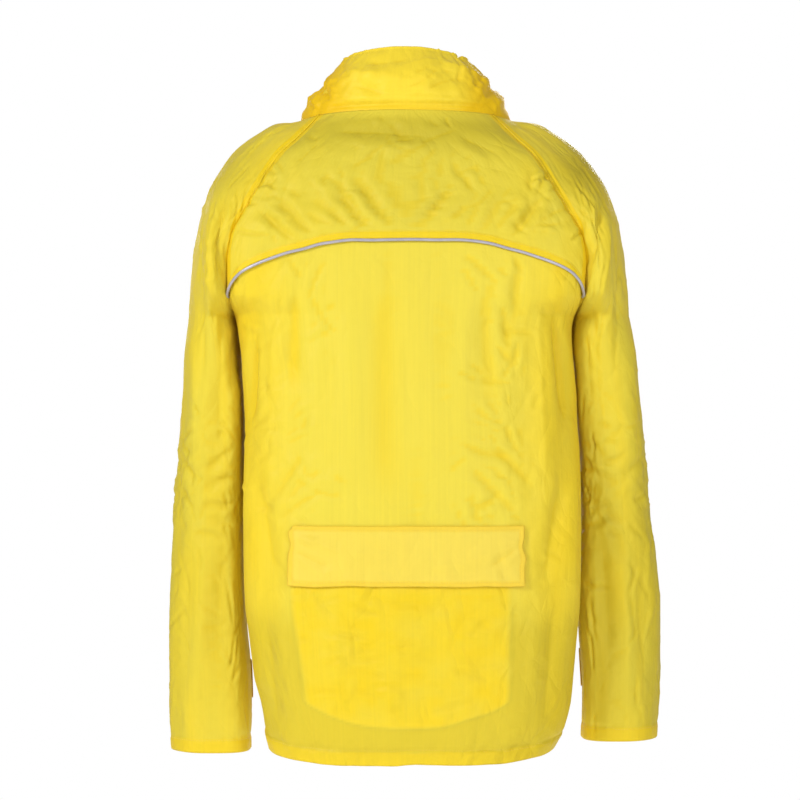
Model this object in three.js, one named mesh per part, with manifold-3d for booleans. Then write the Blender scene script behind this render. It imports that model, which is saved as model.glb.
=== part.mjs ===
// A foul weather jacket: raglan shell in light coated cloth, stood up as if worn.
// Millimetres, +Z up, the front faces -Y, the wearer's left is +X.
// The origin is the centre of the neck opening, level with the collar seam.
import * as THREE from "three";
import Module from "manifold-3d";

const wasm = await Module();
wasm.setup();

// ---------------------------------------------------------------- dimensions
const CLOTH = 1.6; // thickness given to one layer of cloth
const HOOD_GAP = 1.3; // between the collar and the hood rolled up inside it
const BAG_GAP = 1.1; // between the back panel and the pocket bag inside it
const HEM_GAP = 3.2; // between the panels and the turned-up hem
const YOKE_LIFT = 2.2; // how far the yoke stands off the panel below it
const ARMPIT_Z = -235;
const BACK_HEM_Z = -753;
const FRONT_HEM_Z = -738;
const NECK_HALF_W = 126;
const NECK_BACK_D = 88;
const NECK_FRONT_D = 100;
const COLLAR_BACK_Z = 78;
const COLLAR_SIDE_Z = 62;
const COLLAR_FRONT_Z = 10;
const ZIP_TOP = new THREE.Vector3(0, -97, 10);
const ZIP_BOTTOM = new THREE.Vector3(0, -128, -725);
const ZIP_EDGE = 5.6; // from the middle to each front edge
const TOOTH_PITCH = 8;
const ELBOW_Z = -435;
const ELBOW_HALF = 64; // half the length of cloth that bends at the elbow
const CUFF_HEM = 16;
const FLAP_HALF_W = 134;
const FLAP_TOP_Z = -478;
const FLAP_BOTTOM_Z = -547;
const BAG_BOTTOM_Z = -713;
const POCKET_IN_X = 48;
const POCKET_OUT_X = 160;
const POCKET_TOP_Z = -500;
const POCKET_BOTTOM_Z = -672;

// Rows of [height, value], read with straight lines between them.
const BODY_LEFT_W = [[0, 101], [-30, 127], [-50, 147], [-70, 160], [-95, 174], [-123, 190],
  [-143, 201], [-175, 206], [-215, 206], [-254, 200], [-334, 192], [-526, 192],
  [-576, 190.5], [-610, 187], [-657, 182], [-694, 173], [-728, 168], [-756, 161]];
const BODY_RIGHT_W = [[0, 101], [-30, 127], [-50, 147], [-70, 160], [-95, 174], [-123, 190],
  [-143, 201], [-175, 206], [-215, 204], [-254, 196], [-334, 199], [-394, 204], [-526, 207],
  [-576, 206], [-610, 203], [-657, 199], [-694, 195], [-728, 186], [-756, 170]];
const BACK_D = [[5, 88], [-40, 106], [-90, 119], [-150, 127], [-215, 130], [-400, 128],
  [-600, 127], [-756, 121]];
const BACK_EDGE_Y = [[0, 60], [-60, 80], [-120, 80], [-180, 58], [-213, 32], [ARMPIT_Z, 0]];
const FRONT_EDGE_Y = [[0, 50], [-22, 54], [-60, 64], [-120, 64], [-180, 45], [-213, 25],
  [ARMPIT_Z, 0]];
const PIPING = [[0, -151], [60, -151.5], [95, -155], [120, -162], [145, -169], [168, -177],
  [188, -187], [199, -199], [206, -214]];

// Sleeve rows: [fraction, seam height, outer x, outer y, outer z], neck to armpit.
const SHOULDER = [[0, -2, 126, 3, -4], [0.12, -30, 152, 2, -5], [0.25, -60, 178, 0, -18],
  [0.38, -92, 202, -2, -36], [0.5, -122, 220, -4, -60], [0.62, -152, 235, -5, -90],
  [0.75, -182, 246, -6, -130], [0.88, -210, 253, -7, -180], [1, ARMPIT_Z, 258, -8, ARMPIT_Z]];
// Arm rows: [height, left outer x, left inner x, right outer x, right inner x, y, half depth].
const ARM = [[ARMPIT_Z, 258, 210, 266, 206, -8, 78], [-275, 263, 203, 274, 201, -12, 74],
  [-334, 268, 196, 282, 203, -20, 69], [-400, 274, 195, 289, 208, -28, 65],
  [-470, 280, 195.5, 295, 211, -35, 60], [-526, 283, 196, 303, 212, -37, 57],
  [-600, 287, 194, 309, 210, -39, 53], [-660, 288, 189, 309, 213, -40, 50],
  [-700, 288, 188, 308, 215, -41, 48], [-757, 285, 189, 305, 214, -42, 47]];
const LEFT = { side: 1, outer: 1, inner: 2, cuffZ: -757 };
const RIGHT = { side: -1, outer: 3, inner: 4, cuffZ: -743 };

// ------------------------------------------------------------------- helpers
const vec = (x, y, z) => new THREE.Vector3(x, y, z);
const clamp = (x, a, b) => Math.min(b, Math.max(a, x));
const smooth = (x) => {
  const t = clamp(x, 0, 1);
  return t * t * (3 - 2 * t);
};

function read(rows, x, column = 1) {
  const up = rows[rows.length - 1][0] > rows[0][0];
  const inside = (i) => (up ? x <= rows[i][0] : x >= rows[i][0]);
  let i = 1;
  while (i < rows.length - 1 && !inside(i)) i += 1;
  const a = rows[i - 1];
  const b = rows[i];
  const t = clamp((x - a[0]) / (b[0] - a[0]), 0, 1);
  return a[column] + (b[column] - a[column]) * t;
}

const bodyAxis = (p) => vec(0, 0, p.z);

// The closed solid between two offsets of a surface point(u, v), u and v from 0 to 1.
// Offsets are positive away from the core, which defaults to the body's upright axis.
function slab(point, nu, nv, inner, outer, closed = false, core = bodyAxis) {
  const middle = point(0.5, 0.5);
  const across = point(0.501, 0.5).sub(middle);
  const along = point(0.5, 0.501).sub(middle);
  const away = middle.clone().sub(core(middle));
  const sign = Math.sign(across.cross(along).dot(away));
  const normal = (u, v) => {
    const e = 1e-3;
    const u0 = closed ? u - e : Math.max(0, u - e);
    const u1 = closed ? u + e : Math.min(1, u + e);
    const du = point(u1, v).sub(point(u0, v));
    const dv = point(u, Math.min(1, v + e)).sub(point(u, Math.max(0, v - e)));
    return du.cross(dv).normalize().multiplyScalar(sign);
  };
  const columns = closed ? nu : nu + 1;
  const positions = [];
  for (const side of [0, 1]) {
    for (let j = 0; j <= nv; j += 1) {
      for (let i = 0; i < columns; i += 1) {
        const u = i / nu;
        const v = j / nv;
        const offset = (side ? outer : inner);
        const height = typeof offset === "function" ? offset(u, v) : offset;
        const p = point(u, v).addScaledVector(normal(u, v), height);
        positions.push(p.x, p.y, p.z);
      }
    }
  }
  const layer = columns * (nv + 1);
  const at = (side, i, j) => side * layer + j * columns + (i % columns);
  const index = [];
  const quad = (a, b, c, d) => index.push(a, b, c, a, c, d);
  for (let j = 0; j < nv; j += 1) {
    for (let i = 0; i < nu; i += 1) {
      quad(at(1, i, j), at(1, i + 1, j), at(1, i + 1, j + 1), at(1, i, j + 1));
      quad(at(0, i, j), at(0, i, j + 1), at(0, i + 1, j + 1), at(0, i + 1, j));
    }
  }
  for (let i = 0; i < nu; i += 1) {
    quad(at(0, i, 0), at(0, i + 1, 0), at(1, i + 1, 0), at(1, i, 0));
    quad(at(0, i, nv), at(1, i, nv), at(1, i + 1, nv), at(0, i + 1, nv));
  }
  for (let j = 0; j < nv && !closed; j += 1) {
    quad(at(0, 0, j), at(1, 0, j), at(1, 0, j + 1), at(0, 0, j + 1));
    quad(at(0, nu, j), at(0, nu, j + 1), at(1, nu, j + 1), at(1, nu, j));
  }
  return outward(positions, index);
}

function outward(positions, index) {
  const p = (i) => vec(positions[3 * i], positions[3 * i + 1], positions[3 * i + 2]);
  let volume = 0;
  for (let i = 0; i < index.length; i += 3) {
    volume += p(index[i]).dot(p(index[i + 1]).cross(p(index[i + 2])));
  }
  if (volume < 0) {
    for (let i = 0; i < index.length; i += 3) {
      [index[i + 1], index[i + 2]] = [index[i + 2], index[i + 1]];
    }
  }
  const geometry = new THREE.BufferGeometry();
  geometry.setAttribute("position", new THREE.Float32BufferAttribute(positions, 3));
  geometry.setIndex(index);
  return geometry;
}

// A round or flattened bar along a path of points.
function bar(path, radiusA, radiusB, sides = 8) {
  const n = path.length;
  const positions = [];
  const index = [];
  const flat = vec(0, 1, 0);
  path.forEach((p, i) => {
    const ahead = path[Math.min(n - 1, i + 1)].clone().sub(path[Math.max(0, i - 1)]).normalize();
    const across = ahead.clone().cross(flat).normalize();
    const up = across.clone().cross(ahead).normalize();
    for (let k = 0; k < sides; k += 1) {
      const a = (k / sides) * 2 * Math.PI;
      const q = p.clone().addScaledVector(across, radiusA * Math.cos(a));
      q.addScaledVector(up, radiusB * Math.sin(a));
      positions.push(q.x, q.y, q.z);
    }
  });
  for (let i = 0; i + 1 < n; i += 1) {
    for (let k = 0; k < sides; k += 1) {
      const a = i * sides + k;
      const b = i * sides + ((k + 1) % sides);
      index.push(a, b, b + sides, a, b + sides, a + sides);
    }
  }
  for (let k = 1; k + 1 < sides; k += 1) {
    index.push(0, k + 1, k);
    index.push((n - 1) * sides, (n - 1) * sides + k, (n - 1) * sides + k + 1);
  }
  return outward(positions, index);
}

function toManifold(geometry) {
  const mesh = new wasm.Mesh({
    numProp: 3,
    vertProperties: new Float32Array(geometry.getAttribute("position").array),
    triVerts: new Uint32Array(geometry.getIndex().array),
  });
  return new wasm.Manifold(mesh);
}

function toGeometry(solid) {
  const mesh = solid.getMesh();
  const geometry = new THREE.BufferGeometry();
  const positions = new Float32Array(mesh.vertProperties);
  geometry.setAttribute("position", new THREE.BufferAttribute(positions, 3));
  geometry.setIndex(new THREE.BufferAttribute(new Uint32Array(mesh.triVerts), 1));
  return geometry;
}

function box(x0, x1, y0, y1, z0, z1) {
  const solid = wasm.Manifold.cube([x1 - x0, y1 - y0, z1 - z0]);
  return solid.translate([x0, y0, z0]);
}

// --------------------------------------------------------------- body surface
const bodyWidth = (z, side) => read(side > 0 ? BODY_LEFT_W : BODY_RIGHT_W, z);
const frontDepth = (z) => {
  const t = (ZIP_TOP.z - z) / (ZIP_TOP.z - ZIP_BOTTOM.z);
  return -(ZIP_TOP.y + (ZIP_BOTTOM.y - ZIP_TOP.y) * t);
};

// Sections are flattened ellipses; across is a quarter turn either way, as -1 to 1.
const BACK_POWERS = [0.8, 0.62];
const FRONT_POWERS = [0.85, 0.8];

function sectionPoint(across, z, powers, edge, depth) {
  const side = Math.sign(across) || 1;
  const turn = (Math.min(1, Math.abs(across)) * Math.PI) / 2;
  const x = side * bodyWidth(z, side) * Math.sin(turn) ** powers[0];
  const bow = Math.max(0, Math.cos(turn)) ** powers[1];
  return vec(x, edge + (depth - edge) * bow, z);
}
const backPoint = (across, z) =>
  sectionPoint(across, z, BACK_POWERS, read(BACK_EDGE_Y, z), read(BACK_D, z));
const frontPoint = (across, z) =>
  sectionPoint(across, z, FRONT_POWERS, -read(FRONT_EDGE_Y, z), -frontDepth(z));

// The across value that lies x from the middle.
function acrossAt(x, z, powers) {
  const part = clamp(Math.abs(x) / bodyWidth(z, Math.sign(x) || 1), 0, 1);
  return (Math.sign(x) * Math.asin(part ** (1 / powers[0])) * 2) / Math.PI;
}
const backAt = (x, z) => backPoint(acrossAt(x, z, BACK_POWERS), z);
const frontAt = (x, z) => frontPoint(acrossAt(x, z, FRONT_POWERS), z);

// The neck seam: turn 0 is the middle of the back, 180 the middle of the front.
function neckPoint(turn) {
  const s = Math.sin(turn);
  const c = Math.cos(turn);
  const depth = c > 0 ? NECK_BACK_D : NECK_FRONT_D;
  const x = NECK_HALF_W * Math.sign(s) * Math.abs(s) ** 0.9;
  const y = depth * Math.sign(c) * Math.abs(c) ** 0.85;
  return vec(x, y, c > 0 ? -4 + 7 * c : -4 - 66 * c * c);
}

const DEG = Math.PI / 180;
const BACK_NECK_TURN = 51 * DEG;
const FRONT_NECK_TURN = 122 * DEG;

// A body panel drawn down from the neck seam: the pull towards the seam fades out.
function withNeck(surface, turnOf, top) {
  return (u, v) => {
    const across = surface.across(u);
    const z0 = top(across);
    const z1 = surface.bottom(across);
    const p = surface.point(across, z0 + (z1 - z0) * v);
    const fade = Math.max(0, 1 - (v * (z0 - z1)) / 110) ** 2;
    if (fade > 0) {
      const pull = neckPoint(turnOf(across)).sub(surface.point(across, z0));
      p.addScaledVector(pull, fade);
    }
    return p;
  };
}

const backTurn = (across) => across * BACK_NECK_TURN;
const backTop = (across) => neckPoint(backTurn(across)).z;
const pipingZ = (across) => {
  const turn = (Math.min(1, Math.abs(across)) * Math.PI) / 2;
  return read(PIPING, Math.sin(turn) ** BACK_POWERS[0] * 206);
};
const EDGE_SPAN = 0.9997;
const YOKE_SPAN = 0.93;
const backSpan = (u) => (1 - 2 * u) * EDGE_SPAN;

// ------------------------------------------------------------- sleeve surface
function sleeveRing(arm, v, angle) {
  const z = ARMPIT_Z + (arm.cuffZ - ARMPIT_Z) * v;
  const row = ARMPIT_Z + (ARM[ARM.length - 1][0] - ARMPIT_Z) * v;
  const out = read(ARM, row, arm.outer);
  const inn = read(ARM, row, arm.inner);
  const x = (out + inn) / 2 + ((out - inn) / 2) * Math.cos(angle);
  const y = read(ARM, row, 5) + read(ARM, row, 6) * Math.sin(angle);
  return vec(arm.side * x, y, z);
}

// around runs from -1 at the front seam to 1 at the back seam.
function raglanPoint(arm, v, around) {
  const seamZ = read(SHOULDER, v, 1);
  const back = backPoint(arm.side, seamZ);
  const front = frontPoint(arm.side, seamZ);
  const seam = around > 0 ? back : front;
  const outerX = read(SHOULDER, v, 2) + (arm.side < 0 ? 8 * smooth(v) : 0);
  const top = vec(arm.side * outerX, read(SHOULDER, v, 3), read(SHOULDER, v, 4));
  const e = Math.abs(around);
  const last = (0.5 + 0.5 * smooth(v)) * Math.PI;
  const angle = e * last;
  const turn = (1 - Math.cos(angle)) / (1 - Math.cos(last));
  const bulge = 20 + 58 * smooth(v / 0.8);
  const lift = Math.sin(angle) - e * Math.sin(last);
  const p = top.clone().lerp(seam, turn);
  p.y = top.y + (seam.y - top.y) * e + Math.sign(around) * bulge * lift;
  const raglanTurn = around > 0 ? BACK_NECK_TURN : FRONT_NECK_TURN;
  const neckTurn = 88 * DEG + (raglanTurn - 88 * DEG) * e;
  const neck = neckPoint(arm.side * neckTurn);
  const start = raglanStart(arm, around, e);
  return p.addScaledVector(neck.sub(start), (1 - v) ** 6);
}

function raglanStart(arm, around, e) {
  const seam = around > 0 ? backPoint(arm.side, -2) : frontPoint(arm.side, -2);
  const top = vec(arm.side * 126, 3, -4);
  const angle = (e * Math.PI) / 2;
  const p = top.clone().lerp(seam, 1 - Math.cos(angle));
  p.y = top.y + (seam.y - top.y) * e + Math.sign(around) * 20 * (Math.sin(angle) - e);
  return p;
}

// ---------------------------------------------------------------- the jacket
const SHELL = 0xf0e05a;
const DOUBLE = 0xf7dc52;
const jacket = new THREE.Group();
jacket.name = "foul_weather_jacket";

function add(name, geometry, color, roughness = 0.6, metalness = 0) {
  const material = new THREE.MeshStandardMaterial({ color, roughness, metalness });
  const mesh = new THREE.Mesh(geometry, material);
  mesh.name = name;
  jacket.add(mesh);
}

// Back: a lower panel, a loose yoke over it and a mesh vent behind the yoke.
const hemZ = (across) => BACK_HEM_Z + 12 * Math.abs(across) ** 2;
const panelTop = (across) => pipingZ(across) + 22;
const lowerBackPoint = (u, v) => {
  const across = backSpan(u);
  const z0 = panelTop(across);
  return backPoint(across, z0 + (hemZ(across) - z0) * v);
};
const backSheet = toManifold(slab(lowerBackPoint, 22, 14, -CLOTH, 0));
const slot = box(-112, 112, 60, 160, FLAP_TOP_Z - 22, FLAP_TOP_Z - 12);
add("back_panel", toGeometry(backSheet.subtract(slot)), SHELL);

const yoke = {
  across: (u) => (1 - 2 * u) * YOKE_SPAN,
  point: backPoint,
  bottom: (across) => pipingZ(across) + 3.9,
};
const yokePoint = withNeck(yoke, backTurn, (across) => backTop(across) - 1);
add("back_yoke", slab(yokePoint, 24, 8, YOKE_LIFT, YOKE_LIFT + CLOTH), SHELL);

const mesh = {
  across: (u) => (1 - 2 * u) * 0.9,
  point: backPoint,
  bottom: (across) => panelTop(across) + 1.5,
};
const meshPoint = withNeck(mesh, backTurn, (across) => backTop(across) - 4);
add("vent_mesh", slab(meshPoint, 16, 6, -1, -0.2), 0xd9d9d4, 0.8);

const pipingPath = [];
for (let i = 0; i <= 48; i += 1) {
  const across = (1 - i / 24) * (YOKE_SPAN - 0.01);
  const p = backPoint(across, pipingZ(across));
  const ahead = backPoint(across - 0.01, p.z).sub(backPoint(across + 0.01, p.z)).normalize();
  pipingPath.push(p.addScaledVector(vec(ahead.y, -ahead.x, 0), YOKE_LIFT + CLOTH / 2));
}
add("reflective_piping", bar(pipingPath, 1.5, 1.5, 8), 0xafa9b9, 0.35);

// Front: two panels that stop at the zip.
function frontPanel(side) {
  const start = Math.asin((ZIP_EDGE / NECK_HALF_W) ** (1 / 0.9));
  const span = 180 * DEG - FRONT_NECK_TURN - start;
  const neckAt = (u) => neckPoint(side * (180 * DEG - start - span * u));
  const bodyAt = (u, z) => {
    const low = acrossAt(ZIP_EDGE, z, FRONT_POWERS);
    return frontPoint(side * (low + (EDGE_SPAN - low) * u), z);
  };
  return (u, v) => {
    const z0 = neckAt(u).z - 1;
    const z1 = FRONT_HEM_Z - 3 * u * u;
    const p = bodyAt(u, z0 + (z1 - z0) * v);
    const fade = Math.max(0, 1 - (v * (z0 - z1)) / 110) ** 2;
    const pull = neckAt(u).sub(bodyAt(u, z0));
    return p.add(vec(pull.x * fade, pull.y * fade, 0));
  };
}
add("left_front_panel", slab(frontPanel(1), 12, 16, -CLOTH, 0), SHELL);
add("right_front_panel", slab(frontPanel(-1), 12, 16, -CLOTH, 0), SHELL);

// Sleeves: a raglan piece to above the elbow, the cloth that bends, and the forearm.
function buildSleeve(name, arm) {
  const armLength = arm.cuffZ - ARMPIT_Z;
  const at = (z) => (z - ARMPIT_Z) / armLength;
  const upperEnd = ELBOW_Z + ELBOW_HALF;
  const lowerStart = ELBOW_Z - ELBOW_HALF;
  const slit = 0.98;
  const upper = (u, v) => {
    const around = (2 * u - 1) * slit;
    const share = 0.62;
    if (v <= share) return raglanPoint(arm, v / share, around);
    const down = ((v - share) / (1 - share)) * at(upperEnd);
    return sleeveRing(arm, down, around * Math.PI);
  };
  const ring = (z0, z1) => (u, v) => sleeveRing(arm, at(z0 + (z1 - z0) * v), 2 * Math.PI * u);
  const middle = (p) => {
    const row = ARMPIT_Z + (ARM[ARM.length - 1][0] - ARMPIT_Z) * at(p.z);
    const x = (read(ARM, row, arm.outer) + read(ARM, row, arm.inner)) / 2;
    return vec(arm.side * x, read(ARM, row, 5), p.z);
  };
  add(`${name}_sleeve_upper`, slab(upper, 26, 16, -CLOTH, 0), SHELL);
  const bend = ring(upperEnd - 0.6, lowerStart + 0.6);
  add(`${name}_sleeve_elbow`, slab(bend, 20, 6, -CLOTH, 0, true, middle), SHELL);
  const hemTop = arm.cuffZ + CUFF_HEM;
  const forearm = ring(lowerStart, hemTop + 0.5);
  add(`${name}_sleeve_lower`, slab(forearm, 20, 6, -CLOTH, 0, true, middle), SHELL);
  const turnedUp = ring(hemTop, arm.cuffZ);
  add(`${name}_cuff_hem`, slab(turnedUp, 20, 2, -2.2, 0.6, true, middle), DOUBLE);
  const onCuff = (from, to, z0, z1, lift, thickness, name2, color) => {
    const patch = (u, v) => {
      const angle = (from + (to - from) * u) * DEG;
      return sleeveRing(arm, at(z0 + (z1 - z0) * v), angle);
    };
    add(name2, slab(patch, 10, 2, lift, lift + thickness, false, middle), color);
  };
  const low = arm.cuffZ + 62;
  onCuff(184, 208, low + 44, low - 2, 0.4, 1.2, `${name}_cuff_anchor`, DOUBLE);
  onCuff(212, 330, low + 42, low, 2.0, 1.4, `${name}_cuff_strap`, DOUBLE);
  onCuff(262, 326, low + 36, low + 6, 0.4, 1.1, `${name}_cuff_loop_patch`, 0xc9b84a);
}
buildSleeve("left", LEFT);
buildSleeve("right", RIGHT);

// Collar: a tall stand with the hood rolled up between its two layers.
const COLLAR_SPAN = 180 * DEG;
function collarPoint(turn, v) {
  const s = Math.sin(turn);
  const c = Math.cos(turn);
  const base = neckPoint(turn);
  const halfW = NECK_HALF_W - 46 * v ** 1.6;
  const backD = NECK_BACK_D - 24 * v ** 1.8 + 6 * Math.sin(Math.PI * v);
  const depth = c > 0 ? backD : NECK_FRONT_D - 3 * v;
  const x = halfW * Math.sign(s) * Math.abs(s) ** 0.9;
  const y = depth * Math.sign(c) * Math.abs(c) ** 0.85;
  const crest = COLLAR_SIDE_Z - COLLAR_FRONT_Z;
  const rise = c > 0 ? (COLLAR_BACK_Z - COLLAR_SIDE_Z) * c : -crest * c * c;
  const top = COLLAR_SIDE_Z + rise;
  return vec(x, y, base.z + 0.8 + (top - base.z - 0.8) * v);
}
const collarEdge = (v) => {
  const halfW = NECK_HALF_W - 46 * v ** 1.6;
  return COLLAR_SPAN - Math.asin((ZIP_EDGE / halfW) ** (1 / 0.9));
};
const collarAt = (span) => (u, v) => collarPoint((2 * u - 1) * span(v), v);
const padding = (turn, v) => {
  const back = smooth((125 * DEG - Math.abs(turn)) / (55 * DEG));
  return 15 * back * smooth(v / 0.3) * smooth((1.12 - v) / 0.25);
};
const fullTurn = (u, v) => (2 * u - 1) * collarEdge(v);
const innerOffset = (u, v) => CLOTH + 2.3 + padding(fullTurn(u, v), v);
add("collar_outer", slab(collarAt(collarEdge), 36, 5, -CLOTH, 0), DOUBLE);
const inner = (u, v) => -innerOffset(u, v);
const innerFar = (u, v) => -(innerOffset(u, v) + 1.2);
add("collar_inner", slab(collarAt(collarEdge), 36, 5, inner, innerFar), 0xe9d94f);
const hoodV = (v) => 0.3 + 0.6 * v;
const hoodTurn = (u) => (2 * u - 1) * 84 * DEG;
const hoodPoint = (u, v) => collarPoint(hoodTurn(u), hoodV(v));
const hoodFar = (u, v) => -(CLOTH + HOOD_GAP + 0.4 + padding(hoodTurn(u), hoodV(v)) * 0.78);
add("stowed_hood", slab(hoodPoint, 30, 5, -(CLOTH + HOOD_GAP), hoodFar), DOUBLE);

// Hanger loop: a flat tape bent into a U below the seam, inside the back of the neck.
const loopShape = new THREE.Shape();
loopShape.moveTo(-13.4, -4);
loopShape.lineTo(-13.4, -11);
loopShape.quadraticCurveTo(-13.4, -14.2, -10, -14.2);
loopShape.lineTo(10, -14.2);
loopShape.quadraticCurveTo(13.4, -14.2, 13.4, -11);
loopShape.lineTo(13.4, -4);
loopShape.lineTo(12, -4);
loopShape.lineTo(12, -10.8);
loopShape.quadraticCurveTo(12, -12.8, 9.6, -12.8);
loopShape.lineTo(-9.6, -12.8);
loopShape.quadraticCurveTo(-12, -12.8, -12, -10.8);
loopShape.lineTo(-12, -4);
const loop = new THREE.ExtrudeGeometry(loopShape, { depth: 5, bevelEnabled: false, curveSegments: 5 });
loop.rotateX(Math.PI / 2);
loop.translate(0, 79.5, 0);
add("hanger_loop", loop, SHELL);

// Zip down the front: tapes, two rows of interlocked teeth, slider and puller.
const zipDown = ZIP_BOTTOM.clone().sub(ZIP_TOP).normalize();
const zipOut = zipDown.clone().cross(vec(1, 0, 0)).normalize();
const zipPlace = new THREE.Matrix4().makeBasis(vec(1, 0, 0), zipDown.clone().negate(), zipOut);
zipPlace.setPosition(ZIP_TOP);
const onZip = (geometry) => {
  geometry.applyMatrix4(zipPlace);
  return geometry;
};
const ZIP_START = 12;
const ZIP_END = 714;
function comb(side) {
  const shape = new THREE.Shape();
  const half = TOOTH_PITCH / 2;
  const shift = side > 0 ? 0 : half;
  shape.moveTo(side * 3.6, -ZIP_START);
  shape.lineTo(side * 3.6, -ZIP_END);
  shape.lineTo(side * 1.9, -ZIP_END);
  const count = Math.floor((ZIP_END - ZIP_START - half) / TOOTH_PITCH);
  for (let i = count - 1; i >= 0; i -= 1) {
    const low = -(ZIP_START + i * TOOTH_PITCH + shift + 3.4);
    shape.lineTo(side * 1.9, low);
    shape.lineTo(side * -1.4, low);
    shape.lineTo(side * -1.4, low + 3);
    shape.lineTo(side * 1.9, low + 3);
  }
  shape.lineTo(side * 1.9, -ZIP_START);
  const geometry = new THREE.ExtrudeGeometry(shape, { depth: 2.6, bevelEnabled: false });
  geometry.translate(0, 0, -1.3);
  return onZip(geometry);
}
add("zip_teeth_left", comb(1), 0xe8d84e, 0.4);
add("zip_teeth_right", comb(-1), 0xe8d84e, 0.4);
const block = (x0, x1, s0, s1, n0, n1) => box(x0, x1, -s1, -s0, n0, n1);
for (const side of [1, -1]) {
  const word = side > 0 ? "left" : "right";
  const strip = block(side > 0 ? 0.6 : -11, side > 0 ? 11 : -0.6, 4, 722, -3.3, -2.4);
  add(`zip_tape_${word}`, onZip(toGeometry(strip)), 0xddc944, 0.8);
  const stop = block(side > 0 ? 0.5 : -3.4, side > 0 ? 3.4 : -0.5, 8.2, 11.4, -1.2, 1.2);
  add(`zip_top_stop_${word}`, onZip(toGeometry(stop)), 0xd8c845, 0.4);
}
add("zip_box", onZip(toGeometry(block(-4.4, 4.4, 714.6, 724, -1.6, 1.8))), 0xd8c845, 0.4);

const sliderPlate = block(-4.9, 4.9, 12.4, 34, 1.8, 3.4);
const sliderSides = block(-4.9, -4.0, 12.4, 34, -1.4, 3.4).add(block(4.0, 4.9, 12.4, 34, -1.4, 3.4));
const lugs = block(-3.6, -2.5, 14, 20, 3.4, 7.2).add(block(2.5, 3.6, 14, 20, 3.4, 7.2));
const slider = sliderPlate.add(sliderSides).add(lugs);
add("zip_slider", onZip(toGeometry(slider)), 0xb9b7b0, 0.3, 0.9);
const pin = wasm.Manifold.cylinder(4.4, 1.1, 1.1, 16, true).rotate([0, 90, 0]).translate([0, -17, 5.6]);
const neck = block(-1.2, 1.2, 17, 26, 4.9, 6.3);
const tab = block(-3.6, 3.6, 24, 56, 4.7, 6.5).subtract(block(-1.8, 1.8, 46, 53, 4, 7));
add("zip_puller", onZip(toGeometry(pin.add(neck).add(tab))), 0xb9b7b0, 0.35, 0.6);

const placket = (u, v) => {
  const z = -84 + (FRONT_HEM_Z + 30 + 84) * v;
  return frontAt((2 * u - 1) * 32, z);
};
add("storm_placket", slab(placket, 6, 8, -5.8, -4.6), DOUBLE);

// Hem: the turned-up band and the two eyelets of its drawcord.
const hemTurn = (u, v) => {
  const half = (1 - 2 * u) * 2;
  const side = Math.sign(half) || 1;
  const lift = 17.5 * (1 - v) + 0.8;
  if (Math.abs(half) <= 1) return backPoint(half, hemZ(half) + lift);
  const w = 2 - Math.abs(half);
  const z = FRONT_HEM_Z - 3 * w * w + lift;
  const start = acrossAt(20, z, FRONT_POWERS);
  return frontPoint(side * (start + (1 - start) * w), z);
};
const eyeletX = 46;
const eyeletZ = FRONT_HEM_Z + 10;
const eyeletY = frontAt(eyeletX, eyeletZ).y;
const band = toManifold(slab(hemTurn, 72, 1, -(CLOTH + HEM_GAP), -(CLOTH + HEM_GAP + 1.4)));
const drill = wasm.Manifold.cylinder(40, 3.4, 3.4, 20, true).rotate([90, 0, 0]);
const punch = (x) => drill.translate([x, eyeletY, eyeletZ]);
add("hem_band", toGeometry(band.subtract(punch(eyeletX)).subtract(punch(-eyeletX))), DOUBLE);
for (const side of [1, -1]) {
  const profile = [[2.2, 0], [5.6, 0], [5.6, 0.8], [3.0, 0.8], [2.2, 0.4]];
  const points = [...profile, profile[0]].map(([r, h]) => new THREE.Vector2(r, h));
  const eyelet = new THREE.LatheGeometry(points, 20);
  eyelet.translate(0, eyeletY + CLOTH + HEM_GAP + 1.4 + 0.9, 0);
  eyelet.translate(side * eyeletX, 0, eyeletZ);
  add(`hem_eyelet_${side > 0 ? "left" : "right"}`, eyelet, 0x8d8a82, 0.35, 0.9);
}

// Back pocket: a bag inside the panel, a slot in the panel and a hinged flap over it.
const onBack = (x0, x1, z0, z1) => (u, v) => {
  const z = z0 + (z1 - z0) * v;
  const x = x0 + (x1 - x0) * u;
  return backAt(x, z);
};
const flap = onBack(FLAP_HALF_W, -FLAP_HALF_W, FLAP_TOP_Z, FLAP_BOTTOM_Z);
add("back_pocket_flap", slab(flap, 18, 3, 1.6, 3.2), DOUBLE);
add("back_flap_hook_patch", slab(onBack(26, -26, -530, -543), 4, 1, 0.95, 1.4), 0xc9b84a);
add("back_pocket_loop_patch", slab(onBack(26, -26, -530, -543), 4, 1, 0.25, 0.75), 0xc9b84a);
const BAG_HALF_W = 122;
const bagDepth = 9;
const bagPoint = onBack(BAG_HALF_W, -BAG_HALF_W, FLAP_TOP_Z - 5, BAG_BOTTOM_Z);
const bagOuter = toManifold(slab(bagPoint, 16, 8, -(CLOTH + BAG_GAP), -(CLOTH + BAG_GAP + bagDepth)));
const hollow = onBack(BAG_HALF_W - 2, 2 - BAG_HALF_W, FLAP_TOP_Z - 7, BAG_BOTTOM_Z + 2);
const bagHollow = toManifold(slab(hollow, 16, 8, -CLOTH, -(CLOTH + BAG_GAP + bagDepth - 1.4)));
add("back_pocket_bag", toGeometry(bagOuter.subtract(bagHollow)), DOUBLE);

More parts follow.
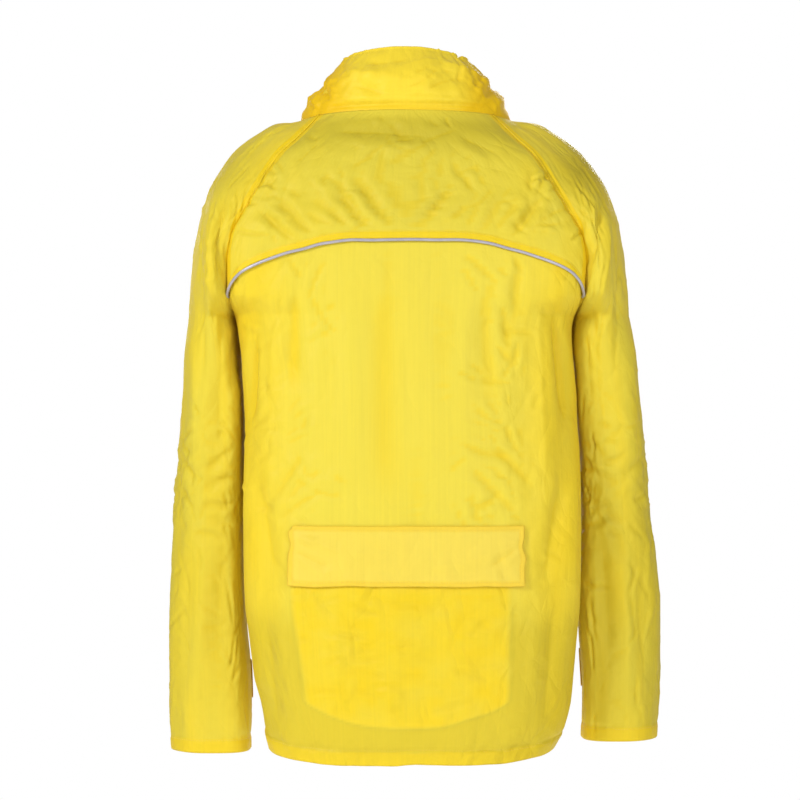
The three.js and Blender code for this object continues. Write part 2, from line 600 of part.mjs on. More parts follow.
// Front pockets: patch bags with hinged flaps.
function buildPocket(name, side) {
  const onFront = (x0, x1, z0, z1) => (u, v) => {
    const z = z0 + (z1 - z0) * v;
    return frontAt(side * (x0 + (x1 - x0) * u), z);
  };
  const whole = onFront(POCKET_IN_X, POCKET_OUT_X, POCKET_TOP_Z, POCKET_BOTTOM_Z);
  const out = toManifold(slab(whole, 8, 6, 1.5, 12));
  const room = onFront(POCKET_IN_X + 2, POCKET_OUT_X - 2, POCKET_TOP_Z + 20, POCKET_BOTTOM_Z + 2);
  const cavity = toManifold(slab(room, 8, 6, 2.6, 10.4));
  add(`${name}_pocket_bag`, toGeometry(out.subtract(cavity)), SHELL);
  const cover = onFront(POCKET_IN_X - 4, POCKET_OUT_X + 4, POCKET_TOP_Z + 22, POCKET_TOP_Z - 42);
  const near = (u, v) => 0.9 + 12.4 * smooth(v / 0.25);
  const far = (u, v) => 2.5 + 12.4 * smooth(v / 0.25);
  add(`${name}_pocket_flap`, slab(cover, 8, 12, near, far), DOUBLE);
}
buildPocket("left", 1);
buildPocket("right", -1);

export default jacket;
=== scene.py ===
# %% [markdown]
# # A foul weather jacket in light coated cloth
# The real jacket is cut from thin nylon with a coating on its inside, sewn with raglan sleeves, a loose
# back yoke over a mesh vent, a tall collar with the hood rolled up in it, and flapped pockets.
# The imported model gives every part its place. This script puts real cloth in place of its plain solids.
# Lengths inside the shape functions are millimetres, and they become metres when a mesh is made.

import math

import bpy
import numpy as np
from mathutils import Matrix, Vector


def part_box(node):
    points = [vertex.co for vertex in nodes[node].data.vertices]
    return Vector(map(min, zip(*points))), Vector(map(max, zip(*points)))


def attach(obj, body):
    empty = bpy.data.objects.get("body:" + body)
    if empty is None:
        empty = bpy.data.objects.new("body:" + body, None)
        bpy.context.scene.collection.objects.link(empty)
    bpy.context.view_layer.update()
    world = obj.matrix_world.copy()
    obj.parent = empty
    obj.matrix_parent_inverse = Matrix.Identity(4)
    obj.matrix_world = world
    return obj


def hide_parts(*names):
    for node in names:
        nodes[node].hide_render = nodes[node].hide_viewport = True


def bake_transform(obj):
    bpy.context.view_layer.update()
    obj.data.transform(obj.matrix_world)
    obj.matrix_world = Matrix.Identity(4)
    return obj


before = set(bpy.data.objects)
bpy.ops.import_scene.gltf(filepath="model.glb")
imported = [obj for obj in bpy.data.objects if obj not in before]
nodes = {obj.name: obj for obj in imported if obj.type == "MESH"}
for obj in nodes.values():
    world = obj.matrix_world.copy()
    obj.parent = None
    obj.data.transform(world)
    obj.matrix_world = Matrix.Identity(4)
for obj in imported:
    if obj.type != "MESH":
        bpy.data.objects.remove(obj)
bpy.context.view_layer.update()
MM = 0.001


def node_box(name):
    """The node's lowest and highest corners, in millimetres."""
    low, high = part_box(name)
    return np.array(low) / MM, np.array(high) / MM


# %% [markdown]
# ## Camera, light and room
# The jacket is looked at level and square from behind, from far enough that its sides hardly converge.
# A coated cloth shows its folds by soft gradients, so the light is one big lamp high on one side, a weaker
# one on the other, and a bright even room. A small pale disc stands for the floor.

# %% Camera and light
CAMERA_DISTANCE = 2.6
EYE_LEVEL = -0.334
camera_data = bpy.data.cameras.new("camera")
camera_data.lens = 97.5
camera_data.sensor_width = 36
camera = bpy.data.objects.new("camera", camera_data)
camera.location = (0.0072, CAMERA_DISTANCE, EYE_LEVEL)
camera.rotation_euler = (math.pi / 2, 0, math.pi)
bpy.context.scene.collection.objects.link(camera)
bpy.context.scene.camera = camera
bpy.context.scene.view_settings.view_transform = "Standard"


def soft_lamp(name, place, target, size, power):
    """A square lamp of the given side, turned so that it shines from place to target."""
    data = bpy.data.lights.new(name, "AREA")
    data.size = size
    data.energy = power
    lamp = bpy.data.objects.new(name, data)
    lamp.location = place
    aim = Vector(target) - Vector(place)
    lamp.rotation_euler = aim.to_track_quat("-Z", "Y").to_euler()
    bpy.context.scene.collection.objects.link(lamp)
    return lamp


MIDDLE = (0, 0, -0.35)
soft_lamp("back_key", (1.9, 2.3, 0.8), MIDDLE, 0.7, 50)
soft_lamp("back_fill", (-1.3, 2.8, 0.1), MIDDLE, 1.3, 27)
soft_lamp("front_key", (-0.8, -3.0, 0.9), MIDDLE, 0.9, 32)
soft_lamp("front_fill", (0.9, -3.0, 0.1), MIDDLE, 1.3, 14)

# %% Room and floor
ROOM_LIGHT = 0.41
world = bpy.data.worlds.new("room")
bpy.context.scene.world = world
world.use_nodes = True
room = world.node_tree
background = room.nodes["Background"]
background.inputs["Color"].default_value = (1, 1, 1, 1)
ray = room.nodes.new("ShaderNodeLightPath")
brighter = room.nodes.new("ShaderNodeMath")
brighter.operation = "MAXIMUM"
brighter.inputs[1].default_value = ROOM_LIGHT
room.links.new(ray.outputs["Is Camera Ray"], brighter.inputs[0])
room.links.new(brighter.outputs[0], background.inputs["Strength"])

FLOOR_Z = -1.3
FLOOR_RADIUS = 2.2
turns = np.linspace(0, 2 * np.pi, 97)[:-1]
rim = np.stack([np.cos(turns) * FLOOR_RADIUS, np.sin(turns) * FLOOR_RADIUS, 0 * turns + FLOOR_Z], -1)
floor_mesh = bpy.data.meshes.new("floor")
floor_mesh.from_pydata(rim.tolist(), [], [list(range(96))])
floor = bpy.data.objects.new("floor", floor_mesh)
bpy.context.scene.collection.objects.link(floor)
floor_paint = bpy.data.materials.new("floor_paint")
floor_paint.use_nodes = True
paint = floor_paint.node_tree.nodes["Principled BSDF"]
paint.inputs["Base Color"].default_value = (0.92, 0.92, 0.92, 1)
paint.inputs["Roughness"].default_value = 0.9
paint.inputs["Emission Color"].default_value = (1, 1, 1, 1)
paint.inputs["Emission Strength"].default_value = 0.25
floor_mesh.materials.append(floor_paint)

# %% [markdown]
# ## Curves from a few measured rows
# A pattern cutter writes down widths at a few heights and draws a fair curve through them. `curve` does the
# same: it passes through every row and never swings past one, so no extra bulge appears between rows.

# %% Fair curves and smooth steps


def ease(x):
    """Rises from 0 to 1 as x does, level at both ends: three x squared less two x cubed."""
    t = np.clip(x, 0, 1)
    return t * t * (3 - 2 * t)


def curve(rows, x, column=1):
    """A cubic through the rows on each span. A row's slope is the harmonic mean of its two straight
    slopes."""
    rows = np.asarray(rows, float)
    rows = rows[np.argsort(rows[:, 0])]
    xs, ys = rows[:, 0], rows[:, column]
    step = np.diff(xs)
    slope = np.diff(ys) / step
    same = slope[:-1] * slope[1:] > 0
    total = np.where(same, slope[:-1] + slope[1:], 1)
    inner = np.where(same, 2 * slope[:-1] * slope[1:] / total, 0)
    tangent = np.concatenate([slope[:1], inner, slope[-1:]])
    x = np.clip(x, xs[0], xs[-1])
    i = np.clip(np.searchsorted(xs, x) - 1, 0, len(xs) - 2)
    t = (x - xs[i]) / step[i]
    low = ys[i] * (1 + 2 * t) * (1 - t) ** 2 + tangent[i] * step[i] * t * (1 - t) ** 2
    return low + ys[i + 1] * t * t * (3 - 2 * t) - tangent[i + 1] * step[i] * t * t * (1 - t)


# %% [markdown]
# ## The body of the jacket
# A level slice through the body is two flattened arcs, back and front, that meet at the side seams. The
# tables hold half widths and depths at a few heights, left and right apart, because a worn jacket hangs
# a little to one side. The neck seam is a tilted ring, and the cloth near it is pulled onto it.

# %% Heights and slices of the body
ARMPIT = node_box("left_sleeve_elbow")[1][2] + 136.6
HEM = node_box("back_panel")[0][2]
LEFT_WIDTH = [[0, 101], [-30, 127], [-50, 147], [-70, 160], [-95, 174], [-123, 190], [-143, 201],
              [-175, 206], [-215, 206], [-254, 200], [-334, 192], [-526, 192], [-576, 190.5],
              [-610, 187], [-657, 182], [-694, 173], [-728, 168], [-756, 161]]
RIGHT_WIDTH = [[0, 101], [-30, 127], [-50, 147], [-70, 160], [-95, 174], [-123, 190], [-143, 201],
               [-175, 206], [-215, 204], [-254, 196], [-334, 199], [-394, 204], [-526, 207],
               [-576, 206], [-610, 203], [-657, 199], [-694, 195], [-728, 186], [-756, 170]]
BACK_DEPTH = [[5, 88], [-40, 106], [-90, 119], [-150, 127], [-215, 130], [-400, 128], [-600, 127],
              [-756, 121]]
BACK_EDGE = [[0, 62], [-60, 92], [-120, 101], [-180, 94], [-213, 74], [ARMPIT, 0]]
FRONT_EDGE = [[0, 50], [-22, 54], [-60, 64], [-120, 64], [-180, 45], [-213, 25], [ARMPIT, 0]]
BACK_ROUND = (0.74, 0.57)
FRONT_ROUND = (0.85, 0.8)
print("armpit", round(ARMPIT, 1), "hem", round(HEM, 1))


def half_width(side, z):
    """Half the body's width at height z, on the side that side's sign gives."""
    return np.where(side >= 0, curve(LEFT_WIDTH, z), curve(RIGHT_WIDTH, z))


def slice_point(across, z, roundness, edge, depth):
    """Across runs from -1 to 1: x is the half width times a power of its sine, y goes from edge to depth
    by a power of its cosine."""
    turn = np.minimum(1, np.abs(across)) * np.pi / 2
    x = np.sign(across) * half_width(across, z) * np.sin(turn) ** roundness[0]
    y = edge + (depth - edge) * np.clip(np.cos(turn), 0, 1) ** roundness[1]
    return np.stack(np.broadcast_arrays(x, y, z), -1)


def zip_y(z):
    """How far forward the zip lies at height z: a straight line from the neck to the hem."""
    return -97 - 31 * (10 - z) / 735


def back_at(across, z):
    """A point of the back."""
    return slice_point(across, z, BACK_ROUND, curve(BACK_EDGE, z), curve(BACK_DEPTH, z))


def front_at(across, z):
    """A point of the front."""
    return slice_point(across, z, FRONT_ROUND, -curve(FRONT_EDGE, z), zip_y(z))


def across_of(x, z, roundness):
    """The across value that lies x millimetres from the middle, from the sine's power turned back."""
    part = np.clip(np.abs(x) / half_width(x, z), 0, 1)
    return np.sign(x) * np.arcsin(part ** (1 / roundness[0])) * 2 / np.pi


# %% The neck seam
NECK_WIDTH = 126
NECK_BACK = 88
NECK_FRONT = 100
BACK_RAGLAN = math.radians(51)
FRONT_RAGLAN = math.radians(122)
SHOULDER_TURN = math.radians(88)


def signed_power(value, power):
    """A power that keeps the sign."""
    return np.sign(value) * np.abs(value) ** power


def neck_at(turn):
    """A tilted ring, flatter than an ellipse. Turn 0 is the middle of the back, half a turn the front."""
    s, c = np.sin(turn), np.cos(turn)
    depth = np.where(c > 0, NECK_BACK, NECK_FRONT)
    z = np.where(c > 0, -4 + 7 * c, -4 - 66 * c * c)
    return np.stack([NECK_WIDTH * signed_power(s, 0.9), depth * signed_power(c, 0.85), z], -1)


# %% [markdown]
# ## The sleeves
# A raglan sleeve reaches the neck in a narrowing yoke of its own. Between its two seams the cloth arches
# over the shoulder, and below the armpit it closes into a flattened tube that leans a little forward.
# One function draws the arch, one the tube, and the step between them is blended away over a few rows.

# %% Sleeve shapes
# Rows: share of the way to the armpit, height of the seam, then x, y and z of the shoulder line.
SHOULDER = [[0, -2, 126, 3, -4], [0.12, -30, 152, 2, -5], [0.25, -60, 178, 0, -18],
            [0.38, -92, 202, -2, -36], [0.5, -122, 220, -4, -60], [0.62, -152, 235, -5, -90],
            [0.75, -182, 246, -6, -130], [0.88, -210, 253, -7, -180], [1, ARMPIT, 258, -8, ARMPIT]]
# Rows: height, outer and inner x of the left sleeve, outer and inner x of the right, y, half depth.
ARM = [[ARMPIT, 258, 210, 266, 206, -8, 78], [-275, 263, 203, 274, 201, -12, 74],
       [-334, 268, 196, 282, 203, -20, 69], [-400, 274, 195, 289, 208, -28, 65],
       [-470, 280, 195.5, 295, 211, -35, 60], [-526, 283, 196, 303, 212, -37, 57],
       [-600, 287, 194, 309, 210, -39, 53], [-660, 288, 189, 309, 213, -40, 50],
       [-700, 288, 188, 308, 215, -41, 48], [-757, 285, 189, 305, 214, -42, 47]]
OUTER_COLUMN = {1: 1, -1: 3}
CUFF = {side: node_box(f"{word}_cuff_hem")[0][2] for side, word in ((1, "left"), (-1, "right"))}
print("cuffs end at", {side: round(float(z), 1) for side, z in CUFF.items()})


def tube_at(side, z, angle):
    """The arm's tube: an ellipse at each height. Angle 0 is its outer side, a quarter turn its back. The
    quarter that lies against the body is boxier, by a power below one, as it is pressed flat there."""
    row = ARMPIT + (ARM[-1][0] - ARMPIT) * (z - ARMPIT) / (CUFF[side] - ARMPIT)
    outer = curve(ARM, row, OUTER_COLUMN[side])
    inner = curve(ARM, row, OUTER_COLUMN[side] + 1)
    boxy = np.where((np.cos(angle) < 0) & (np.sin(angle) > 0), 0.55, 1.0)
    x = (outer + inner) / 2 + (outer - inner) / 2 * signed_power(np.cos(angle), boxy)
    y = curve(ARM, row, 5) + curve(ARM, row, 6) * signed_power(np.sin(angle), boxy)
    return np.stack(np.broadcast_arrays(side * x, y, z), -1)


def arch_ends(side, v, around):
    """The shoulder line's point and the seam's point that an arch spans, front seam where around < 0."""
    z = curve(SHOULDER, v, 1)
    seam = np.where((around > 0)[..., None], back_at(side, z), front_at(side, z))
    x = side * (curve(SHOULDER, v, 2) + (8 * ease(v) if side < 0 else 0))
    return np.stack([x, curve(SHOULDER, v, 3), curve(SHOULDER, v, 4)], -1), seam


def arch_at(side, v, around):
    """Over the shoulder: from the shoulder line to the seam by the cosine of a growing angle, while y
    swells by its sine. Near the neck the arch is pulled onto the neck seam."""
    top, seam = arch_ends(side, v, around)
    e = np.abs(around)
    last = (0.5 + 0.5 * ease(v)) * np.pi
    angle = e * last
    part = ((1 - np.cos(angle)) / (1 - np.cos(last)))[..., None]
    p = top + (seam - top) * part
    swell = (20 + 58 * ease(v / 0.8)) * (np.sin(angle) - e * np.sin(last))
    p[..., 1] = top[..., 1] + (seam - top)[..., 1] * e + np.sign(around) * swell
    raglan = np.where(around > 0, BACK_RAGLAN, FRONT_RAGLAN)
    neck = neck_at(side * (SHOULDER_TURN + (raglan - SHOULDER_TURN) * e))
    return p + (neck - arch_start(side, around)) * ((1 - v) ** 6)[..., None]


def arch_start(side, around):
    """The arch at the neck before it is pulled onto the seam: the same formula with no height."""
    seam = np.where((around > 0)[..., None], back_at(side, -2.0), front_at(side, -2.0))
    top = np.array([side * 126.0, 3, -4])
    e = np.abs(around)
    p = top + (seam - top) * (1 - np.cos(e * np.pi / 2))[..., None]
    p[..., 1] = 3 + (seam[..., 1] - 3) * e + np.sign(around) * 20 * (np.sin(e * np.pi / 2) - e)
    return p


def raglan_seam(side, face):
    """The raglan seam as a line of points down from the neck, at the back (face 1) or the front (-1)."""
    v = np.linspace(0, 1, 240)
    return arch_at(side, v, np.full(240, float(face)))


# %% [markdown]
# ## How cloth folds
# Coated nylon is crisp. It makes long shallow bands where it hangs, straight grooves that run from a pull,
# and small sharp crinkles where it has been squashed. Each is a height added along the surface's normal, so
# the sheets can be smooth functions first and get their creases after.

# %% Grooves, hills and crinkles


def groove(x, z, start, end, width, height, flare=0.6, bow=0.0):
    """A ridge, or a groove where height is negative, from start to end: a sharp-topped bell across it, wider
    towards its end by flare, bent sideways by bow, and fading out at both ends."""
    ax, az = start
    dx, dz = end[0] - ax, end[1] - az
    length = math.hypot(dx, dz)
    t = ((x - ax) * dx + (z - az) * dz) / length**2
    inside = np.clip(t, 0, 1)
    off = ((z - az) * dx - (x - ax) * dz) / length - bow * 4 * inside * (1 - inside)
    spread = width * (1 - flare / 2 + flare * inside)
    fade = ease(t / 0.3 + 0.15) * ease((1 - t) / 0.35 + 0.1)
    q = off / spread
    crest = 0.5 * np.exp(-q * q) + 0.6 * np.exp(-1.5 * np.abs(q))
    return height * fade * (crest - 0.35 * np.exp(-((np.abs(q) - 1.9) ** 2)))


def hills(x, z, size, seed):
    """Smooth seeded hills: random heights at the corners of a lattice, blended by the smooth step."""
    height = np.random.default_rng(seed).uniform(-1, 1, (101, 101))
    gx, gz = x / size + 50.37, z / size + 50.71
    ix, iz = np.floor(gx).astype(int), np.floor(gz).astype(int)
    tx, tz = ease(gx - ix), ease(gz - iz)
    ix, iz = ix % 100, iz % 100
    low = height[ix, iz] * (1 - tx) + height[ix + 1, iz] * tx
    high = height[ix, iz + 1] * (1 - tx) + height[ix + 1, iz + 1] * tx
    return low * (1 - tz) + high * tz


def crinkle(x, z, size, seed, sharp=5):
    """Thin ridges where smooth hills cross zero: one less the hill's size, to a high power. The hills
    are bent by broader ones first, so that no ridge follows the lattice."""
    bend = 0.8 * size
    bx = x + bend * hills(x, z, 1.9 * size, seed + 1)
    bz = z + bend * hills(x, z, 2.3 * size, seed + 2)
    return (1 - np.abs(hills(bx, bz, size, seed))) ** sharp - 1 / (sharp + 1)


def grooves(x, z, rows):
    """The sum of several grooves, each row holding start, end, width, height and, at times, a bow."""
    total = np.zeros(np.broadcast(x, z).shape)
    for start, end, width, height, *bow in rows:
        total += groove(x, z, start, end, width, height, bow=bow[0] if bow else 0)
    return total


def scattered(x, z, seed, count, middle, spread, lean=0.0, size=1.0):
    """Many small creases round a middle: seeded starts in a bell-shaped cloud, directions round a lean
    angle, lengths of 14 to 52 millimetres, and about three grooves for each ridge."""
    rng = np.random.default_rng(seed)
    start = np.array(middle) + rng.normal(0, 1, (count, 2)) * spread
    angle = lean + rng.normal(0, 0.75, count)
    length = rng.uniform(14, 52, count) * size
    end = start + np.stack([np.sin(angle), np.cos(angle)], -1) * length[:, None]
    deep = np.where(rng.random(count) < 0.75, -1, 0.8) * rng.uniform(0.7, 2.1, count)
    rows = zip(start, end, rng.uniform(2.4, 5.0, count), deep, rng.uniform(-3, 3, count))
    return grooves(x, z, list(rows))


def all_scattered(x, z, rows):
    """The sum of several clouds of creases, each row holding what one cloud takes."""
    return sum(scattered(x, z, *row) for row in rows)


def patch(x, z, centre, radius):
    """A soft round spot, 1 at its centre, for keeping crinkles to one place. Radius is (in x, in z)."""
    q = ((x - centre[0]) / radius[0]) ** 2 + ((z - centre[1]) / radius[1]) ** 2
    return np.exp(-q)


# %% [markdown]
# ## From a grid of points to a sheet of cloth
# Every sheet is made the same way: a grid of points, a second grid half a millimetre inside it, and a rim
# that closes the edge. Solidify would do it too, but here the rows below an armpit can be welded into a
# tube while those above stay open. UVs follow the cloth in metres, so a weave keeps its size.

# %% Sheet maker
# Three marks on each point: golden where layers lie behind, with painted shade in crease valleys too; olive
# painted shade; and how strongly fine creases show.
MARKS = {"doubled": 0.0, "dim": 0.0, "rumpled": 0.4}


def normals_of(p, welded):
    """Across the grid's two directions, the cross product of the differences, made unit length.
    Welded rows take their differences round the tube."""
    du = np.gradient(p, axis=1)
    if welded is not None:
        ring = p[welded:, 1] - p[welded:, -2]
        du[welded:, 0] = ring / 2
        du[welded:, -1] = ring / 2
    n = np.cross(du, np.gradient(p, axis=0))
    return n / np.maximum(np.linalg.norm(n, axis=-1, keepdims=True), 1e-9)


def outward_of(p, core, welded=None):
    """The grid's normals, turned to point away from the core, and whether they had to be turned."""
    n = normals_of(p, welded)
    turned = np.sum(n * (p - core)) < 0
    return (-n if turned else n), turned


def raised(p, height, core, welded=None):
    """The grid moved along its normals by a height at each point."""
    n, _ = outward_of(p, core, welded)
    return p + n * np.asarray(height)[..., None]


def sheet_faces(rows, columns, welded):
    """Two layers of quads and the rim between them, with the welded rows' last column on the first."""
    number = np.arange(rows * columns).reshape(rows, columns)
    loose = number.copy()
    if welded is not None:
        number[welded:, -1] = number[welded:, 0]
    open_rows = rows if welded is None else welded + 1

    def quads(g, layer):
        a, b, c, d = g[:-1, :-1], g[:-1, 1:], g[1:, 1:], g[1:, :-1]
        outer = np.stack([a, b, c, d], -1).reshape(-1, 4)
        inner = np.stack([d, c, b, a], -1).reshape(-1, 4) + layer
        walls = [wall(g[0, 1:], g[0, :-1], layer), wall(g[-1, :-1], g[-1, 1:], layer)]
        walls.append(wall(g[: open_rows - 1, 0], g[1:open_rows, 0], layer))
        walls.append(wall(g[1:open_rows, -1], g[: open_rows - 1, -1], layer))
        return np.concatenate([outer, inner, *walls])

    return quads(number, rows * columns), quads(loose, rows * columns)


def wall(a, b, layer):
    """Quads from each outer edge a to b down to the same edge of the inner layer."""
    return np.stack([a, b, b + layer, a + layer], -1).reshape(-1, 4)


def cloth_uv(p):
    """How far each point lies along and down the cloth, in metres."""
    across = np.linalg.norm(np.diff(p, axis=1), axis=2).mean(0)
    down = np.linalg.norm(np.diff(p, axis=0), axis=2).mean(1)
    u = np.concatenate([[0], np.cumsum(across)])
    v = np.concatenate([[0], np.cumsum(down)])
    return np.stack(np.meshgrid(u, -v), -1) * MM


def fill_mesh(name, points, faces, uv=None, marks=None, material=None):
    """Makes a smooth mesh object of points in millimetres, with UVs for each corner and named marks."""
    mesh = bpy.data.meshes.new(name)
    used, faces = np.unique(faces, return_inverse=True)
    faces = faces.reshape(-1, 4) if faces.size else faces
    mesh.from_pydata((points[used] * MM).tolist(), [], faces.tolist())
    mesh.shade_smooth()
    if uv is not None:
        layer = mesh.uv_layers.new(name="cloth")
        layer.data.foreach_set("uv", uv.reshape(-1).astype(np.float32))
    for mark, value in (marks or {}).items():
        data = mesh.attributes.new(mark, "FLOAT", "POINT")
        data.data.foreach_set("value", value[used].astype(np.float32))
    piece = bpy.data.objects.new(name, mesh)
    bpy.context.scene.collection.objects.link(piece)
    if material:
        mesh.materials.append(material)
    return piece


def hollows(p, n):
    """1 in a crease's valley: how far a point lies below the mean of its neighbours two steps off, along
    the normal. It counts from a tenth of a millimetre and is full at one."""
    sunk = np.zeros(p.shape[:2])
    for mean, middle in ((p[4:] + p[:-4], np.s_[2:-2]), (p[:, 4:] + p[:, :-4], np.s_[:, 2:-2])):
        sunk[middle] += np.sum((mean / 2 - p[middle]) * n[middle], axis=-1)
    return ease((sunk - 0.12) / 0.9)


def make_cloth(name, p, core, material, thickness=0.5, welded=None, **marks):
    """The closed sheet between a grid and its copy a thickness inside it. Core is what it faces away
    from. Marks are values for each point, such as how far a layer below shows through, and every crease
    valley gets painted shade in them."""
    n, turned = outward_of(p, core, welded)
    rows, columns = p.shape[:2]
    both = np.concatenate([p.reshape(-1, 3), (p - n * thickness).reshape(-1, 3)])
    faces, corners = sheet_faces(rows, columns, welded)
    if turned:
        faces, corners = faces[:, ::-1], corners[:, ::-1]
    uv = np.tile(cloth_uv(p).reshape(-1, 2), (2, 1))[corners]
    # Painted shade: every crease valley is painted golden and a little olive.
    valley = hollows(p, n)
    marks["doubled"] = np.maximum(marks.get("doubled", 0.0), 0.42 * valley)
    marks["dim"] = marks.get("dim", 0.0) + 0.04 * valley
    flat = {}
    for mark, plain in MARKS.items():
        value = np.broadcast_to(marks.get(mark, plain), (rows, columns)).astype(float)
        flat[mark] = np.tile(value.reshape(-1), 2)
    return fill_mesh(name, both, faces, uv, flat, material)


def fit(piece, stands_for, body="jacket_body"):
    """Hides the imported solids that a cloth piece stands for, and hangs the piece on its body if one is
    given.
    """
    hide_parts(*stands_for)
    if body:
        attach(piece, body)
    return piece


# %% [markdown]
# ## Finishes
# The cloth is a plain weave so fine that it reads as a satin sheet with faint upright streaks. Being thin,
# it is pale lemon where one layer hangs alone and golden where a seam, a hem or a pocket lies behind, and
# one mark says that; the same mark also paints crease valleys and folds golden, as painted shade. A second
# mark is painted shade in olive, where the dark inside of the jacket shows through, in creases, towards the
# sides and low down, and a third mark says how strongly fine creases show.

# %% Material tools


def tint(red, green, blue):
    """A screen colour of 0 to 255 a channel, as the linear colour that a shader works with."""
    c = np.array([red, green, blue]) / 255
    linear = np.where(c < 0.04045, c / 12.92, ((c + 0.055) / 1.055) ** 2.4)
    return (*[float(v) for v in linear], 1.0)


class Finish:
    """A material with its shader, and short ways to add nodes to it."""

    def __init__(self, name, colour, roughness, **sockets):
        self.material = bpy.data.materials.new(name)
        self.material.use_nodes = True
        self.tree = self.material.node_tree
        self.shader = self.tree.nodes["Principled BSDF"]
        self.set("Base Color", colour)
        self.set("Roughness", roughness)
        for socket, value in sockets.items():
            self.set(socket.replace("_", " "), value)

    def set(self, socket, value):
        self.shader.inputs[socket].default_value = value

    def add(self, kind, **inputs):
        node = self.tree.nodes.new("ShaderNode" + kind)
        for socket, value in inputs.items():
            self.join(node, socket, value)
        return node

    def join(self, node, socket, value):
        """Links an output to the socket, or sets the socket to a plain value."""
        target = node.inputs[int(socket[1:]) if socket[1:].isdigit() else socket.replace("_", " ")]
        if isinstance(value, bpy.types.NodeSocket):
            self.tree.links.new(value, target)
        else:
            target.default_value = value

    def place(self, space="Object", scale=(1, 1, 1)):
        """Object or UV coordinates, stretched by scale."""
        source = self.add("TexCoord").outputs[space]
        return self.add("Mapping", Vector=source, Scale=scale).outputs[0]

    def noise(self, vector, scale, detail=3.0, roughness=0.5):
        node = self.add("TexNoise", Vector=vector, Scale=scale, Detail=detail, Roughness=roughness)
        return node.outputs["Fac"]

    def spread(self, value, low, high):
        """Stretches the middle of a noise's range to run from low to high."""
        node = self.add("MapRange", Value=value)
        for socket, number in (("From Min", 0.3), ("From Max", 0.7), ("To Min", low), ("To Max", high)):
            node.inputs[socket].default_value = number
        return node.outputs[0]

    def mix(self, share, a, b, kind="MIX"):
        node = self.add("Mix")
        node.data_type = "RGBA"
        node.blend_type = kind
        for socket, value in ((0, share), (6, a), (7, b)):
            self.join(node, f"_{socket}", value)
        return node.outputs[2]

    def maths(self, operation, a, b=0.0):
        node = self.add("Math", _0=a, _1=b)
        node.operation = operation
        return node.outputs[0]

    def mark(self, name):
        node = self.add("Attribute")
        node.attribute_name = name
        return node.outputs["Fac"]

    def bump(self, height, distance, strength=1.0, normal=None):
        node = self.add("Bump", Height=height, Distance=distance, Strength=strength)
        if normal is not None:
            self.join(node, "Normal", normal)
        return node.outputs[0]

    def crease(self, scale, turn):
        """Straight creases: the edges of bent cells on the cloth, rising to a flat top a quarter of a
        cell away, kept only where a slow noise is high."""
        flow = self.place("UV", (1, 0.7, 1))
        bend = self.add("TexNoise", Vector=flow, Scale=scale * 0.5, Detail=2.0).outputs["Color"]
        moved = self.add("Mix")
        moved.data_type = "RGBA"
        moved.blend_type = "LINEAR_LIGHT"
        for socket, value in ((0, 0.9 / scale), (6, flow), (7, bend)):
            self.join(moved, f"_{socket}", value)
        turned = self.add("VectorRotate", Vector=moved.outputs[2], Angle=turn).outputs[0]
        cells = self.add("TexVoronoi", Vector=turned, Scale=float(scale))
        cells.feature = "DISTANCE_TO_EDGE"
        sharp = self.maths("MINIMUM", cells.outputs["Distance"], 0.25)
        kept = self.spread(self.noise(self.place("Object"), 14 + scale / 3, 2), -0.6, 1.5)
        return self.maths("MULTIPLY", sharp, self.maths("MAXIMUM", self.maths("MINIMUM", kept, 1.0), 0.0))

    def glow_through(self, colour, normal, share):
        """Mixes in a share of light that shines through from the far side of the cloth."""
        behind = self.add("BsdfTranslucent", Color=colour, Normal=normal)
        both = self.add("MixShader", Fac=share)
        self.tree.links.new(self.shader.outputs[0], both.inputs[1])
        self.tree.links.new(behind.outputs[0], both.inputs[2])
        self.tree.links.new(both.outputs[0], self.tree.nodes["Material Output"].inputs["Surface"])

    def end(self, **sockets):
        """Joins outputs to the shader's sockets and gives the material."""
        for socket, value in sockets.items():
            self.join(self.shader, socket, value)
        return self.material


# %% Coated cloth
LEMON = tint(248, 231, 78)
GOLD = tint(255, 225, 30)
# Olive is the colour of the painted shade.
PAINTED_SHADE_OLIVE = tint(196, 176, 28)


